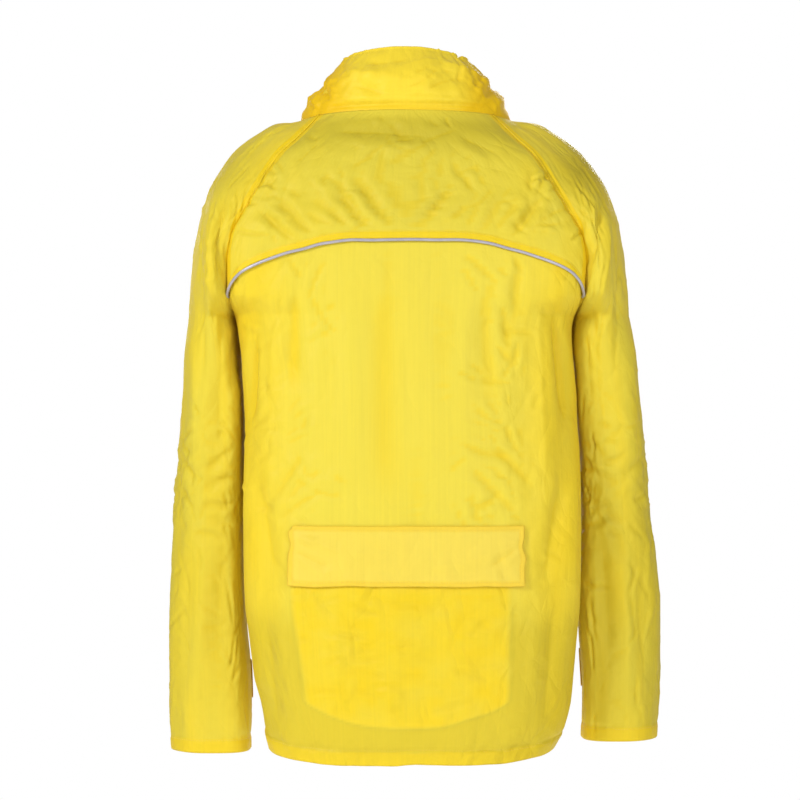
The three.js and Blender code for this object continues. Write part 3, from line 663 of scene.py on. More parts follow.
def coated_cloth(name, single, double, roughness=0.5, through=0.25):
    """Lemon to gold by the mark of layers behind, which also holds painted shade in crease valleys, and
    olive by the painted shade mark; upright streaks in the weave, slow mottling, and a bump of fine crossing
    threads over small soft wrinkles. Some light comes through."""
    f = Finish(name, single, roughness, Sheen_Weight=0.03, Sheen_Roughness=0.5, Specular_IOR_Level=0.26)
    colour = f.mix(f.mark("doubled"), single, double)
    colour = f.mix(f.mark("dim"), colour, PAINTED_SHADE_OLIVE)
    flow = f.place("UV")
    slow = f.spread(f.noise(f.place("Object"), 11, 4), 0.0, 1.0)
    colour = f.mix(f.maths("MULTIPLY", slow, 0.10), colour, double)
    streak = f.spread(f.noise(f.place("UV", (330, 7, 1)), 1.0, 3, 0.6), 0.972, 1.016)
    shade = f.add("CombineXYZ", X=streak, Y=streak, Z=streak).outputs[0]
    colour = f.mix(1.0, colour, shade, "MULTIPLY")
    weft = f.add("TexWave", Vector=flow, Scale=900.0)
    warp = f.add("TexWave", Vector=flow, Scale=900.0)
    warp.bands_direction = "Y"
    threads = f.maths("MAXIMUM", weft.outputs["Fac"], warp.outputs["Fac"])
    normal = f.bump(threads, 0.00004, 0.6)
    normal = f.bump(f.noise(flow, 70, 4, 0.55), 0.0009, 0.45, normal)
    normal = f.bump(f.noise(f.place("UV", (120, 26, 1)), 1.0, 3), 0.0008, 0.5, normal)
    for scale, depth, turn in ((17, 0.011, 0.5), (33, 0.0060, -0.4)):
        ridge = f.crease(scale, turn)
        normal = f.bump(f.maths("MULTIPLY", ridge, f.mark("rumpled")), depth, 1.0, normal)
    rough = f.spread(f.noise(flow, 35, 3), roughness - 0.05, roughness + 0.07)
    f.glow_through(colour, normal, through)
    return f.end(Base_Color=colour, Normal=normal, Roughness=rough)


shell_cloth = coated_cloth("coated_shell_cloth", LEMON, GOLD)
double_cloth = coated_cloth("coated_double_cloth", tint(255, 232, 66), tint(246, 202, 4), 0.46, 0.12)

# %% [markdown]
# ## The lower back
# The big back panel starts out of sight under the yoke and runs to the hem. It hangs almost flat in the
# middle, in wide upright bands, and gathers into deeper grooves towards the side seams. The pocket bag
# behind it shows through as a golden field, and so does the turned-up hem.

# %% Height fields of the back
YOKE_EDGE = [[0, -151], [60, -151.5], [95, -155], [120, -162], [145, -169], [168, -177], [188, -187],
             [199, -199], [206, -214]]
HEM_WIDTH = 17
BAG_TOP = -487
BAG_RIGHT = -120
BAG_FOOT = -711
FLAP_LOW, FLAP_HIGH = node_box("back_pocket_flap")
BACK_GROOVES = [((177, -258), (183, -372), 6, -4.6), ((-171, -232), (-188, -372), 6.5, -5.2),
                ((127, -205), (134, -330), 9, -2.4), ((-92, -192), (-93, -345), 13, -1.8),
                ((-109, -215), (-122, -305), 7, -2.2), ((-129, -176), (-122, -270), 8, -2.4),
                ((150, -190), (160, -470), 13, 2.2), ((-150, -205), (-162, -480), 12, 2.6),
                ((98, -220), (112, -470), 14, 1.4), ((-66, -210), (-70, -470), 22, 1.6),
                ((28, -200), (24, -480), 26, -1.3), ((-20, -190), (-26, -440), 24, 1.2),
                ((62, -190), (66, -470), 20, 1.2), ((136, -168), (120, -196), 3.2, -2.0),
                ((-120, -163), (-134, -190), 3.2, -2.0), ((-57, -301), (-82, -311), 3.4, -1.3),
                ((-104, -270), (-118, -291), 3.6, -1.4), ((-60, -382), (-128, -398), 5, -1.6, 5),
                ((-74, -412), (-132, -470), 6, -1.8), ((-96, -388), (-150, -440), 5, -1.6, -4),
                ((120, -398), (166, -462), 5, -1.8), ((96, -440), (150, -476), 5, -1.6, 4),
                ((172, -420), (150, -560), 9, -2.4), ((-178, -430), (-158, -560), 9, -2.6),
                ((165, -580), (150, -730), 10, -2.4), ((-172, -570), (-160, -730), 11, -2.6),
                ((186, -380), (182, -640), 9, 2.4), ((-196, -380), (-192, -640), 10, 2.6)]
# Rows: seed, how many, middle, spread, lean.
BACK_CREASES = [(25, 26, (-120, -440), (30, 60), 0.9), (26, 20, (140, -430), (26, 70), -0.9),
                (27, 16, (-112, -250), (24, 50), 0.4), (28, 16, (128, -240), (28, 50), -0.4)]
BAG_CREASES = [((-48, -641), (-100, -655), 4, -1.5), ((60, -664), (22, -676), 3.4, -1.4),
               ((-72, -604), (-94, -584), 3.6, -1.3), ((108, -552), (84, -584), 4, -1.5),
               ((40, -560), (-60, -566), 6, -1.1, 4), ((92, -610), (40, -652), 5, -1.1, 5),
               ((-30, -690), (-86, -676), 4, -1.3), ((10, -600), (-34, -640), 6, -1.0)]


def bag_field(x, z):
    """1 where the pocket bag lies behind the cloth: between slanting sides, above a foot that rises
    towards its corners, with edges a few millimetres soft."""
    left = 134 - 15 * ease((-548 - z) / 135)
    half = np.where(x > 0, left, -BAG_RIGHT) + 1.6 * hills(x * 0, z, 34, 14)
    foot = BAG_FOOT + 29 * (np.abs(x) / 119) ** 2.4 + 3 * hills(x, 0 * z, 30, 15)
    return ease((half - np.abs(x)) / 14 + 0.3) * ease((z - foot) / 9 + 0.3) * ease((BAG_TOP - z) / 2.0)


def hem_wave(x):
    """The hem's edge rises and falls by a millimetre or two as it hangs."""
    return 1.5 * hills(x, 0 * x, 46, 5) + 0.7 * hills(x, 0 * x, 17, 6)


def back_height(x, z):
    """Bands, grooves, crinkles and the seams of the lower back, as millimetres along the normal."""
    near_side = ease((np.abs(x) - 90) / 80)
    upright = hills(x, z / 9, 27, 11) * (0.7 + 1.3 * near_side)
    broad = 1.3 * hills(x, z / 2.6, 88, 12)
    creases = grooves(x, z, BACK_GROOVES) + bag_field(x, z) * grooves(x, z, BAG_CREASES)
    rough = 0.75 * patch(x, z, (-98, -430), (58, 66)) + 0.5 * patch(x, z, (132, -450), (40, 50))
    rough = rough + 0.45 * patch(x, z, (-115, -262), (28, 60)) + 0.4 * bag_field(x, z) + 0.12
    small = rough * (1.5 * crinkle(x, z, 30, 21) + 0.8 * crinkle(x, z, 14, 24, 4))
    small += all_scattered(x, z, BACK_CREASES)
    small += bag_field(x, z) * scattered(x, z, 29, 34, (0, -650), (62, 40), 1.2)
    bag = 0.8 * bag_field(x, z) + 0.35 * np.exp(-(((bag_field(x, z) - 0.5) / 0.3) ** 2))
    return 1.25 * upright + broad + 1.35 * creases + small + bag


def hem_height(s, above):
    """A hem seen from outside: the band stands proud of the cloth, its stitched top edge sinks in, and
    short puckers run a little way up and down from the stitches. S is millimetres along the hem."""
    line = above - HEM_WIDTH
    band = 1.1 * ease(-line / 3) - 1.2 * np.exp(-((line / 2.4) ** 2))
    slant = hills(s + above * 0.8, above / 4, 9, 31) + 0.9 * hills(s - above * 0.7, above / 3, 16, 32)
    return band + slant * 1.3 * np.exp(-((line / 14.0) ** 2))


# %% The back panel
SIDE_STEPS = np.linspace(1, -1, 189)
SIDE_STEPS = SIDE_STEPS * (1.42 - 0.42 * SIDE_STEPS**2)


def lower_back(rows=256):
    """Straight down from just above the yoke's edge to the hem, at every step across."""
    across, v = np.meshgrid(SIDE_STEPS, np.linspace(0, 1, rows))
    edge = curve(YOKE_EDGE, np.sin(np.abs(across) * np.pi / 2) ** BACK_ROUND[0] * 206)
    top = edge + 20
    foot = HEM + 12 * across**2
    p = back_at(across, top + (foot - top) * v)
    p[..., 2] += hem_wave(p[..., 0]) * ease((v - 0.9) / 0.1)
    x, z = p[..., 0], p[..., 2]
    shown = ease((edge + 4 - z) / 26)
    seam = ease((1 - np.abs(across)) / 0.06)
    height = back_height(x, z) * shown * (0.3 + 0.7 * seam) + hem_height(x, z - foot) - 0.6
    p = raised(p, height, p * (0, 0, 1))
    hem = ease((HEM_WIDTH + foot - z) / 2.0)
    # Painted shade: the cloth in the back's grooves is painted golden.
    fold = 0.75 * ease(-grooves(x, z, BACK_GROOVES) / 3.6)
    mottled = 0.80 + 0.16 * hills(x, z, 26, 17) + 0.12 * hills(x, z, 11, 18)
    doubled = np.maximum.reduce([mottled * bag_field(x, z), 0.8 * hem, fold, 0.75 * (1 - seam)])
    doubled = np.maximum(doubled, (0.62 + 0.2 * hills(x, z / 5, 13, 16)) * ease((np.abs(x) - 105) / 80))
    # Painted shade: low down, the cloth beside and under the bag is painted golden and olive, and the hem
    # olive, more on the jacket's right.
    outside = (1 - bag_field(x, z)) * ease((-560 - z) / 50) * (1 - hem)
    doubled = np.maximum(doubled, 0.42 * outside)
    dim = 0.30 * outside + 0.10 * hem + 0.22 * hem * ease((-40 - x) / 140)
    # Painted shadow: an olive line along the bag's edges, lower than 70 millimetres under its top.
    edge_shade = np.exp(-(((bag_field(x, z) - 0.35) / 0.22) ** 2)) * ease((BAG_TOP - 70 - z) / 12)
    dim = dim + 0.18 * edge_shade * (1 - hem)
    rumpled = 0.3 + 0.45 * bag_field(x, z) + 0.4 * hem + 0.3 * ease((np.abs(x) - 90) / 50)
    return p, doubled, dim, rumpled


panel, doubled, dim, rumpled = lower_back()
core = panel * (0, 0, 1)
back_panel = make_cloth("back_panel_cloth", panel, core, shell_cloth, doubled=doubled, dim=dim,
                        rumpled=rumpled)
fit(back_panel, ["back_panel"])

# %% [markdown]
# ## The yoke
# The yoke hangs from the collar seam and the two raglan seams and is free along its lower edge, so air can
# leave through the mesh behind it. Its edge carries a reflective piping, and the seam allowance folded
# up behind the edge shows as a golden band. Folds run up from the edge where the cloth is held out wide.

# %% Back yoke
YOKE_FOLDS = [((47, -137), (78, -92), 4.5, -2.6), ((14, -137), (56, -80), 5.5, -2.8),
              ((30, -137), (66, -88), 5, 2.0), ((67, -136), (108, -100), 4.5, -2.2),
              ((-16, -135), (-52, -90), 5, -2.6), ((-2, -137), (-30, -104), 5, 1.6),
              ((-122, -147), (-158, -98), 5, -3.2), ((-108, -143), (-136, -110), 4, 1.8),
              ((130, -152), (172, -114), 4.5, -2.6), ((107, -146), (146, -102), 4.5, -2.4),
              ((118, -150), (158, -110), 4, 1.8), ((-23, -118), (-14, -66), 3.6, -1.3),
              ((84, -24), (-42, -33), 7, -2.2, -3), ((60, -40), (-20, -44), 7, 1.2, 3),
              ((-60, -28), (-112, -52), 7, -1.6), ((100, -34), (128, -62), 6, -1.8),
              ((-78, -140), (-100, -96), 6, 1.4), ((86, -140), (92, -74), 9, 1.2)]
# Rows: seed, how many, middle, spread, lean. Two fans above the piping, both sides, under the collar.
YOKE_CREASES = [(47, 22, (60, -112), (44, 16), 0.8), (48, 22, (-60, -112), (44, 16), -0.8),
                (49, 16, (150, -100), (14, 30), 0.7), (50, 16, (-150, -104), (14, 30), -0.7),
                (51, 14, (10, -34), (60, 9), 1.57)]


def snap_to_seam(p, side, across):
    """Moves the last part of each row sideways so that its end lies on the raglan seam at its height."""
    for sign in (1, -1):
        seam = raglan_seam(sign, side)
        edge = p[:, 0] if sign > 0 else p[:, -1]
        order = np.argsort(seam[:, 2])
        for axis in (0, 1):
            there = np.interp(edge[:, 2], seam[order, 2], seam[order, axis])
            share = ease((sign * across - 0.72) / 0.28)
            p[..., axis] += share * (there - edge[:, axis])[:, None]
    return p


def yoke_height(x, z, above):
    """Folds that rise from the piping, crinkles by both raglan seams, and the stitched golden band."""
    rough = 0.15 + 0.9 * patch(x, z, (158, -104), (22, 44)) + 0.7 * patch(x, z, (-160, -112), (20, 44))
    rough = rough + 0.5 * patch(x, z, (90, -40), (50, 22)) + 0.4 * patch(x, z, (0, -90), (90, 40))
    small = rough * (1.4 * crinkle(x, z, 24, 41) + 0.8 * crinkle(x, z, 11, 44, 4))
    line = above - 10
    band = 0.5 * ease(-line / 2) - 0.5 * np.exp(-((line / 1.6) ** 2))
    pucker = 0.5 * hills(x, z, 9, 45) * np.exp(-((line / 7) ** 2))
    broad = 1.5 * hills(x, z, 62, 46)
    folds = 1.5 * grooves(x, z, YOKE_FOLDS) + all_scattered(x, z, YOKE_CREASES)
    return (folds + small + broad) * ease((above - 5) / 12) + band + pucker


def yoke(rows=110):
    """From the collar seam to the piping. The pull towards the neck seam fades over 110 millimetres."""
    across, v = np.meshgrid(SIDE_STEPS, np.linspace(0, 1, rows))
    neck = neck_at(across * BACK_RAGLAN)
    edge = curve(YOKE_EDGE, np.sin(np.abs(across) * np.pi / 2) ** BACK_ROUND[0] * 206)
    top, foot = neck[..., 2] + 0.4, edge + 1.2
    p = back_at(across, top + (foot - top) * v)
    fade = np.clip(1 - v * (top - foot) / 110, 0, 1) ** 2
    p += (neck - back_at(across, top)) * fade[..., None]
    p = snap_to_seam(p, 1, across)
    x, z = p[..., 0], p[..., 2]
    free = ease((1 - np.abs(across)) / 0.06) * ease(v / 0.1)
    height = yoke_height(x, z, z - edge) * free + 0.4 + 1.9 * ease((v - 0.5) / 0.4) * free
    p = raised(p, height, p * (0, 0, 1))
    seam_gap = np.abs(np.abs(x) - np.abs(np.where(x > 0, p[:, :1, 0], p[:, -1:, 0])))
    golden = (0.18 + 0.22 * hills(x, z / 3, 15, 52)) * ease((np.abs(x) - 60) / 70)
    bands = np.maximum(ease((10.5 - (z - edge)) / 1.6), ease((6 - seam_gap) / 1.5))
    doubled = np.maximum(0.9 * bands, golden)
    # Painted shade: olive over the whole yoke, more in a band under the collar, half as much low down, and
    # less on the golden bands.
    shaded = 0.34 * ease((z + 62) / 40) * ease((-2 - z) / 14) + 0.20
    dim = shaded * (1 - doubled) * (1 - 0.5 * ease((-105 - z) / 40))
    return p, doubled, dim


back_yoke_points, doubled, dim = yoke()
core = back_yoke_points * (0, 0, 1)
back_yoke = make_cloth("back_yoke_cloth", back_yoke_points, core, shell_cloth, doubled=doubled, dim=dim)
fit(back_yoke, ["back_yoke"])

# %% [markdown]
# ## Front panels
# Each front runs from the zip to the side seam. Nothing pulls on it but its own weight and the pocket, so
# it gets long upright bands and a few slanting folds from the armpit.

# %% Front panels
ZIP_EDGE = 5.6
FRONT_FOLDS = [((176, -240), (120, -330), 8, -2.6), ((188, -262), (160, -400), 8, -2.8),
               ((70, -60), (92, -170), 10, -1.8), ((118, -80), (128, -200), 9, -1.8),
               ((40, -130), (46, -420), 14, 1.6), ((96, -200), (104, -450), 14, -1.6),
               ((150, -330), (162, -480), 10, 1.8), ((34, -500), (30, -720), 9, -1.4),
               ((178, -500), (166, -720), 9, -2.0)]


def front_height(x, z, side):
    """Upright bands, slanting folds and a little crinkling, and the pull of the neck seam."""
    m = np.abs(x)
    upright = 1.1 * hills(x, z / 8, 30, 50 + side) + 1.2 * hills(x, z / 2.4, 84, 53 + side)
    rough = 0.2 + 0.6 * patch(m, z, (150, -250), (50, 60)) + 0.4 * patch(m, z, (60, -90), (50, 50))
    small = rough * (1.3 * crinkle(x, z, 30, 55 + side) + 0.7 * crinkle(x, z, 13, 57 + side, 4))
    return upright + grooves(m, z, FRONT_FOLDS) + small


def front(side, rows=212, columns=92):
    """Across runs from the zip's edge to the side seam, and down from the neck seam to the hem."""
    u, v = np.meshgrid(np.linspace(0, 1, columns), np.linspace(0, 1, rows))
    u = 1 - (1 - u) ** 1.25
    start = math.asin((ZIP_EDGE / NECK_WIDTH) ** (1 / 0.9))
    neck = neck_at(side * (np.pi - start - (np.pi - FRONT_RAGLAN - start) * u))
    top, foot = neck[..., 2] - 1, FRONT_HEM - 3 * u * u
    z = top + (foot - top) * v
    low, high = (across_of(ZIP_EDGE, h, FRONT_ROUND) for h in (z, top))
    p = front_at(side * (low + (1 - low) * u), z)
    pull = neck - front_at(side * (high + (1 - high) * u), top)
    fade = np.clip(1 - v * (top - foot) / 110, 0, 1) ** 2
    p[..., :2] += pull[..., :2] * fade[..., None]
    p = snap_front(p, side, u)
    p[..., 2] += hem_wave(p[..., 0] + 300) * ease((v - 0.9) / 0.1)
    height = front_height(p[..., 0], p[..., 2], side)
    free = ease(u / 0.1) * ease((1 - u) / 0.1) * ease(v / 0.06)
    under = 1 - 0.85 * ease((u - 0.12) / 0.1) * ease((0.98 - u) / 0.06) * ease((-465 - z) / 20)
    height = height * free * under + hem_height(p[..., 0] + 500, z - foot) * ease(u / 0.06) - 0.5
    p = raised(p, height, p * (0, 0, 1))
    doubled = np.maximum.reduce([0.62 * ease((HEM_WIDTH + foot - z) / 2), 0.6 * ease((0.1 - u) / 0.02),
                                 0.55 * ease((u - 0.96) / 0.03)])
    # Painted shade: olive rising towards the side seam.
    return p, doubled, 0.12 * ease((u - 0.6) / 0.4)


def snap_front(p, side, u):
    """Moves the outer part of each row so that its end lies on the front raglan seam at its height."""
    seam = raglan_seam(side, -1)
    order = np.argsort(seam[:, 2])
    height = p[:, -1, 2]
    above = ease((height - ARMPIT) / 8)
    for axis in (0, 1):
        there = np.interp(height, seam[order, 2], seam[order, axis])
        shift = (there - p[:, -1, axis]) * above
        p[..., axis] += ease((u - 0.6) / 0.4) * shift[:, None]
    return p


FRONT_HEM = node_box("left_front_panel")[0][2] + 3
front_panels = {}
for side, word in ((1, "left"), (-1, "right")):
    p, doubled, dim = front(side)
    core = p * (0, 0, 1)
    piece = make_cloth(f"{word}_front_cloth", p, core, shell_cloth, doubled=doubled, dim=dim)
    fit(piece, [f"{word}_front_panel"])
    front_panels[side] = piece

# %% [markdown]
# ## One sleeve, neck to cuff
# The imported model cuts each sleeve at the elbow because its solids are stiff. The real one is a single
# piece of cloth, so it is one sheet here: open above the armpit and welded into a tube below it. Its folds
# hang from the shoulder, and the elbow has short slanting creases.

# %% Sleeves
ELBOW = node_box("left_sleeve_elbow")
SLEEVE_FOLDS = {
    1: [((211, -92), (212, -212), 5.5, -4.0, 2), ((226, -120), (229, -250), 7, 2.4),
        ((236, -150), (240, -330), 10, -2.6), ((214, -230), (224, -420), 8, -3.2),
        ((250, -250), (252, -470), 9, 2.0), ((203, -250), (206, -330), 6, -2.8),
        ((204, -392), (236, -424), 5, -2.6, 3), ((200, -424), (244, -446), 5.5, -2.8, 3),
        ((203, -456), (240, -462), 5, -2.4, -2), ((206, -486), (238, -470), 5, -2.0),
        ((272, -400), (240, -440), 6, -1.8), ((216, -500), (230, -660), 10, -2.2),
        ((262, -520), (266, -700), 10, -1.8), ((240, -500), (250, -720), 12, 1.8)],
    -1: [((-228, -104), (-206, -182), 6, -4.2, -2), ((-236, -120), (-222, -240), 7, 2.2),
         ((-250, -140), (-246, -330), 10, -2.6), ((-216, -216), (-236, -400), 9, -3.4),
         ((-264, -240), (-270, -460), 10, 2.0), ((-208, -250), (-218, -350), 7, -3.0),
         ((-212, -380), (-246, -420), 5.5, -2.8, -3), ((-210, -414), (-252, -440), 5.5, -2.8, -3),
         ((-212, -450), (-250, -462), 5, -2.4, 2), ((-214, -486), (-246, -468), 5, -2.0),
         ((-284, -396), (-250, -436), 6, -1.8), ((-232, -500), (-246, -660), 10, -2.4),
         ((-282, -520), (-288, -700), 10, -1.8), ((-258, -500), (-270, -720), 12, 1.8)],
}
# Rows: seed, how many, middle, spread, lean, size. Back and front of the elbow, shoulder and forearm.
SLEEVE_CREASES = [(71, 46, (100, -420), (50, 62), -1.1, 1.0), (73, 30, (110, -180), (44, 60), -0.3, 1.3),
                  (76, 30, (-100, -420), (50, 80), 1.1, 1.0), (78, 24, (100, -620), (50, 70), -0.2, 1.5)]
RAGLAN_ROWS = 96
ARM_ROWS = 176
RAGLAN_BAND = 11


def sleeve_grid(side, columns=132):
    """The arch rows from the neck to the armpit, then the tube rows to the cuff. What the last arch
    differs from the first ring fades out over 70 millimetres."""
    around = np.sin(np.linspace(-1, 1, columns) * 1.2) / np.sin(1.2)
    a, v = np.meshgrid(around, np.linspace(0, 1, RAGLAN_ROWS))
    arch = arch_at(side, v, a)
    below = np.linspace(ARMPIT, CUFF[side], ARM_ROWS + 1)[1:]
    b, z = np.meshgrid(around, below)
    tube = tube_at(side, z, b * np.pi)
    step = arch[-1] - tube_at(side, np.full(columns, ARMPIT), around * np.pi)
    tube += step[None] * (1 - ease((ARMPIT - z) / 70))[..., None]
    return np.concatenate([arch, tube]), np.concatenate([a, b])


def sleeve_height(p, around, side):
    """Folds drawn as seen from behind act on the back half, mirrored ones on the front half. Upright
    bands and crinkles go all the way round, strongest at the elbow."""
    x, z = p[..., 0], p[..., 2]
    back = ease(around * 3 + 0.4)
    folds = grooves(x, z, SLEEVE_FOLDS[side]) * back
    folds += grooves(-x, z, SLEEVE_FOLDS[-side]) * 0.8 * (1 - back)
    arc = around * 205
    upright = 1.5 * hills(arc, z / 7, 30, 60 + side) + 1.6 * hills(arc, z / 2, 75, 62 + side)
    elbow = np.exp(-(((z + 436) / 66) ** 2))
    rough = 0.3 + 0.9 * elbow + 0.4 * np.exp(-(((z + 150) / 80) ** 2)) + 0.3 * ease((-640 - z) / 60)
    small = rough * (1.7 * crinkle(arc, z * 1.4, 36, 64 + side) + 0.9 * crinkle(arc, z, 15, 66 + side, 4))
    for seed, count, middle, spread, lean, size in SLEEVE_CREASES:
        small += scattered(arc, z, seed + side, count, middle, spread, lean * side, size)
    return 1.2 * folds + upright + small


def sleeve_marks(p, around, side):
    """Golden along the raglan seams, the underarm seam and the cuff, and where the tube's far side
    stands close behind. Painted shade in olive: a little all over, more low on the arm and most so on the
    right, down the outer side, and in a patch on the shoulder's crown where the dark inside shows through,
    strongest on the right. Below the armpit the inner side, in the body's shade, is painted light: it loses
    the plain gold and all the painted shade."""
    z = p[..., 2]
    length = np.linalg.norm(np.diff(p, axis=1), axis=2)
    run = np.concatenate([np.zeros((len(p), 1)), np.cumsum(length, axis=1)], axis=1)
    from_seam = np.minimum(run, run[:, -1:] - run)
    seam = ease((RAGLAN_BAND - from_seam) / 1.8) * ease((z - ARMPIT + 4) / 12)
    under = 0.7 * ease((4 - from_seam) / 1.5) * (1 - ease((z - ARMPIT) / 8))
    cuff = 0.6 * ease((CUFF[side] + 16 - z) / 1.6)
    # Painted light: the inner side below the armpit, in the body's shade, is painted free of gold and of
    # shade.
    inner = ease((around - 0.6) / 0.15) * ease((ARMPIT + 60 - z) / 60)
    plain = (0.28 + 0.22 * hills(around * 205, z / 6, 16, 75 + side)) * (1 - inner)
    doubled = np.maximum.reduce([seam, under * (z < -420), 1.3 * cuff, plain])
    # Painted shade: a dark patch on the shoulder's crown, more shade low down and down the outer side.
    crown = patch(np.abs(p[..., 0]), z, (205, -66), (34, 36)) * (0.75 if side < 0 else 0.25)
    low = (0.10 if side > 0 else 0.20) * ease((-330 - z) / 160)
    outer = 0.16 * ease((0.34 - np.abs(around)) / 0.12) * ease((-240 - z) / 60)
    dim = (0.08 + low + outer + crown) * (1 - 0.6 * doubled) * (1 - inner)
    return doubled, np.clip(dim, 0, 1)


def sleeve(side):
    """The grid, its folds faded out at the seams, the neck and the cuff, and the cuff's own hem."""
    p, around = sleeve_grid(side)
    z = p[..., 2]
    middle = p.mean(axis=1, keepdims=True) * (1, 1, 0) + p * (0, 0, 1)
    edge = ease((1 - np.abs(around)) / 0.10)
    tube = ease((ARMPIT - z) / 60)
    low = ease((z - CUFF[side] - 4) / 30)
    height = sleeve_height(p, around, side) * (edge + (1 - edge) * 0.5 * tube) * (0.35 + 0.65 * low)
    height *= ease(np.arange(len(p)) / 9)[:, None]
    height += 1.2 * ease((np.abs(around) - 0.93) / 0.03) * ease((z - ARMPIT) / 12)
    band = HEM_WIDTH - 1 - (z - CUFF[side])
    height += 0.8 * ease(band / 2) - 0.8 * np.exp(-((band / 2) ** 2))
    height += 0.6 * hills(around * 205, 0 * z, 9, 70 + side) * np.exp(-((band / 8) ** 2))
    core = np.where(np.arange(len(p))[:, None, None] < RAGLAN_ROWS, p * (0, 0, 1), middle)
    p = raised(p, height, core, RAGLAN_ROWS - 1)
    p[RAGLAN_ROWS - 1:, -1] = p[RAGLAN_ROWS - 1:, 0]
    return p, core, around


sleeves = {}
for side, word in ((1, "left"), (-1, "right")):
    p, core, around = sleeve(side)
    doubled, dim = sleeve_marks(p, around, side)
    piece = make_cloth(f"{word}_sleeve_cloth", p, core, shell_cloth, welded=RAGLAN_ROWS - 1,
                       doubled=doubled, dim=dim, rumpled=0.5 + 0.3 * np.exp(-(((p[..., 2] + 430) / 90) ** 2)))
    ends = [f"{word}_sleeve_{part}" for part in ("upper", "elbow", "lower")]
    fit(piece, [*ends, f"{word}_cuff_hem"], None)
    top, foot = ELBOW[1][2] * MM, ELBOW[0][2] * MM
    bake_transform(piece)
    sleeves[side] = (piece, p)

# %% [markdown]
# ## The collar
# The collar is a tall stand of two layers with the hood rolled up between them, so it is thick and soft at
# the back and thin at the zip. One sheet makes it: up the outside, over the top and down the inside.

# %% Collar
COLLAR_BACK = node_box("collar_outer")[1][2]
COLLAR_SIDE = 62
COLLAR_FRONT = 10
COLLAR_FOLDS = [((-100, 8), (110, 6), 3.4, -2.4, 2), ((90, 14), (120, 62), 5, -2.6, 3),
                ((104, 8), (128, 50), 6, 2.2), ((-92, 14), (-118, 60), 5, -2.6, -3),
                ((-104, 8), (-130, 50), 6, 2.2), ((20, 20), (84, 34), 7, -1.8, 3),
                ((-20, 26), (-78, 46), 7, -1.8, -3), ((50, 60), (-10, 66), 8, -1.6, 3),
                ((-40, 62), (-80, 50), 6, 1.4), ((70, 50), (30, 44), 7, 1.6)]

COLLAR_CREASES = [(86, 20, (85, 34), (30, 18), 0.7), (87, 20, (-85, 34), (30, 18), -0.7)]


def collar_surface(turn, v):
    """The neck seam's ring, drawn in by a power of the height, and reaching a top edge that is highest
    at the back and dips at the zip."""
    s, c = np.sin(turn), np.cos(turn)
    base = neck_at(turn)[..., 2] - 1.6
    wide = NECK_WIDTH - 46 * v**1.6
    deep = np.where(c > 0, NECK_BACK - 24 * v**1.8 + 6 * np.sin(np.pi * v), NECK_FRONT - 3 * v)
    dip = np.where(c > 0, (COLLAR_BACK - COLLAR_SIDE) * c, -(COLLAR_SIDE - COLLAR_FRONT) * c * c)
    z = base + (COLLAR_SIDE + dip - base) * v
    return np.stack([wide * signed_power(s, 0.9), deep * signed_power(c, 0.85), z], -1)


def collar_gap(turn, v):
    """How far apart the two layers stand: a thin seam at the zip and at the foot, and room for the
    rolled hood from side to side round the back."""
    room = ease((math.radians(125) - np.abs(turn)) / math.radians(55))
    return 3.6 + 15 * room * ease(v / 0.3) * ease((1.12 - v) / 0.25)


def collar(columns=220, rows=44, top_rows=10):
    """Outside, a half circle over the top, then inside: the gap is laid off along the normals."""
    v = np.linspace(0, 1, rows)
    span = np.pi - np.arcsin((ZIP_EDGE / (NECK_WIDTH - 46 * v**1.6)) ** (1 / 0.9))
    turn = np.linspace(-1, 1, columns)[None] * span[:, None]
    v = v[:, None] + 0 * turn
    p = collar_surface(turn, v)
    core = np.array([0, 0, 1]) * p
    n, _ = outward_of(p, core)
    x, z = p[..., 0] * np.where(p[..., 1] > 0, 1, -1), p[..., 2]
    soft = ease(v / 0.12) * ease((np.pi - np.abs(turn)) / 0.25)
    arc = turn * 100
    height = (1.4 * grooves(x, z, COLLAR_FOLDS) * (p[..., 1] > 0) + 1.9 * hills(arc, z, 34, 80)
              + 0.7 * all_scattered(arc, z, COLLAR_CREASES)
              + 0.6 * scattered(arc, z, 88, 14, (0, 44), (60, 16), 1.57, 1.4)
              + 1.2 * crinkle(arc, z, 26, 81) + 0.5 * crinkle(arc, z, 11, 84, 4)) * soft
    gap = collar_gap(turn, v)
    outer = p + n * height[..., None]
    inner = p - n * (gap + 0.4 * height)[..., None]
    bend = np.linspace(0, np.pi, top_rows + 2)[1:-1, None]
    middle, half = (outer[-1] + inner[-1]) / 2, np.linalg.norm(outer[-1] - inner[-1], axis=-1) / 2
    lift = np.minimum(half, 5)[None] * np.sin(bend)
    over = middle[None] + (outer[-1] - middle)[None] * np.cos(bend)[..., None]
    over[..., 2] += lift
    sheet = np.concatenate([outer, over, inner[::-1]])
    hollow = np.concatenate([inner, np.repeat(middle[None], top_rows, 0) - (0, 0, 6), outer[::-1]])
    return sheet, hollow


collar_points, hollow = collar()
at_foot = 0.45 * ease((14 - collar_points[..., 2]) / 12)
at_sides = 0.75 * ease((np.abs(collar_points[..., 0]) - 52) / 42)
shade = np.minimum(0.25 + at_foot + at_sides, 1)
collar_stand = make_cloth("collar_stand", collar_points, hollow, double_cloth, doubled=shade, rumpled=0.45)
fit(collar_stand, ["collar_outer", "collar_inner"])

# %% [markdown]
# ## The hood, rolled
# Only its bulk shows, through the collar. It is a padded roll: a flattened tube carried along the middle
# of the collar's gap, closed to a point at both ends, with the wrinkles of rolled cloth round it.

# %% Solid tubes


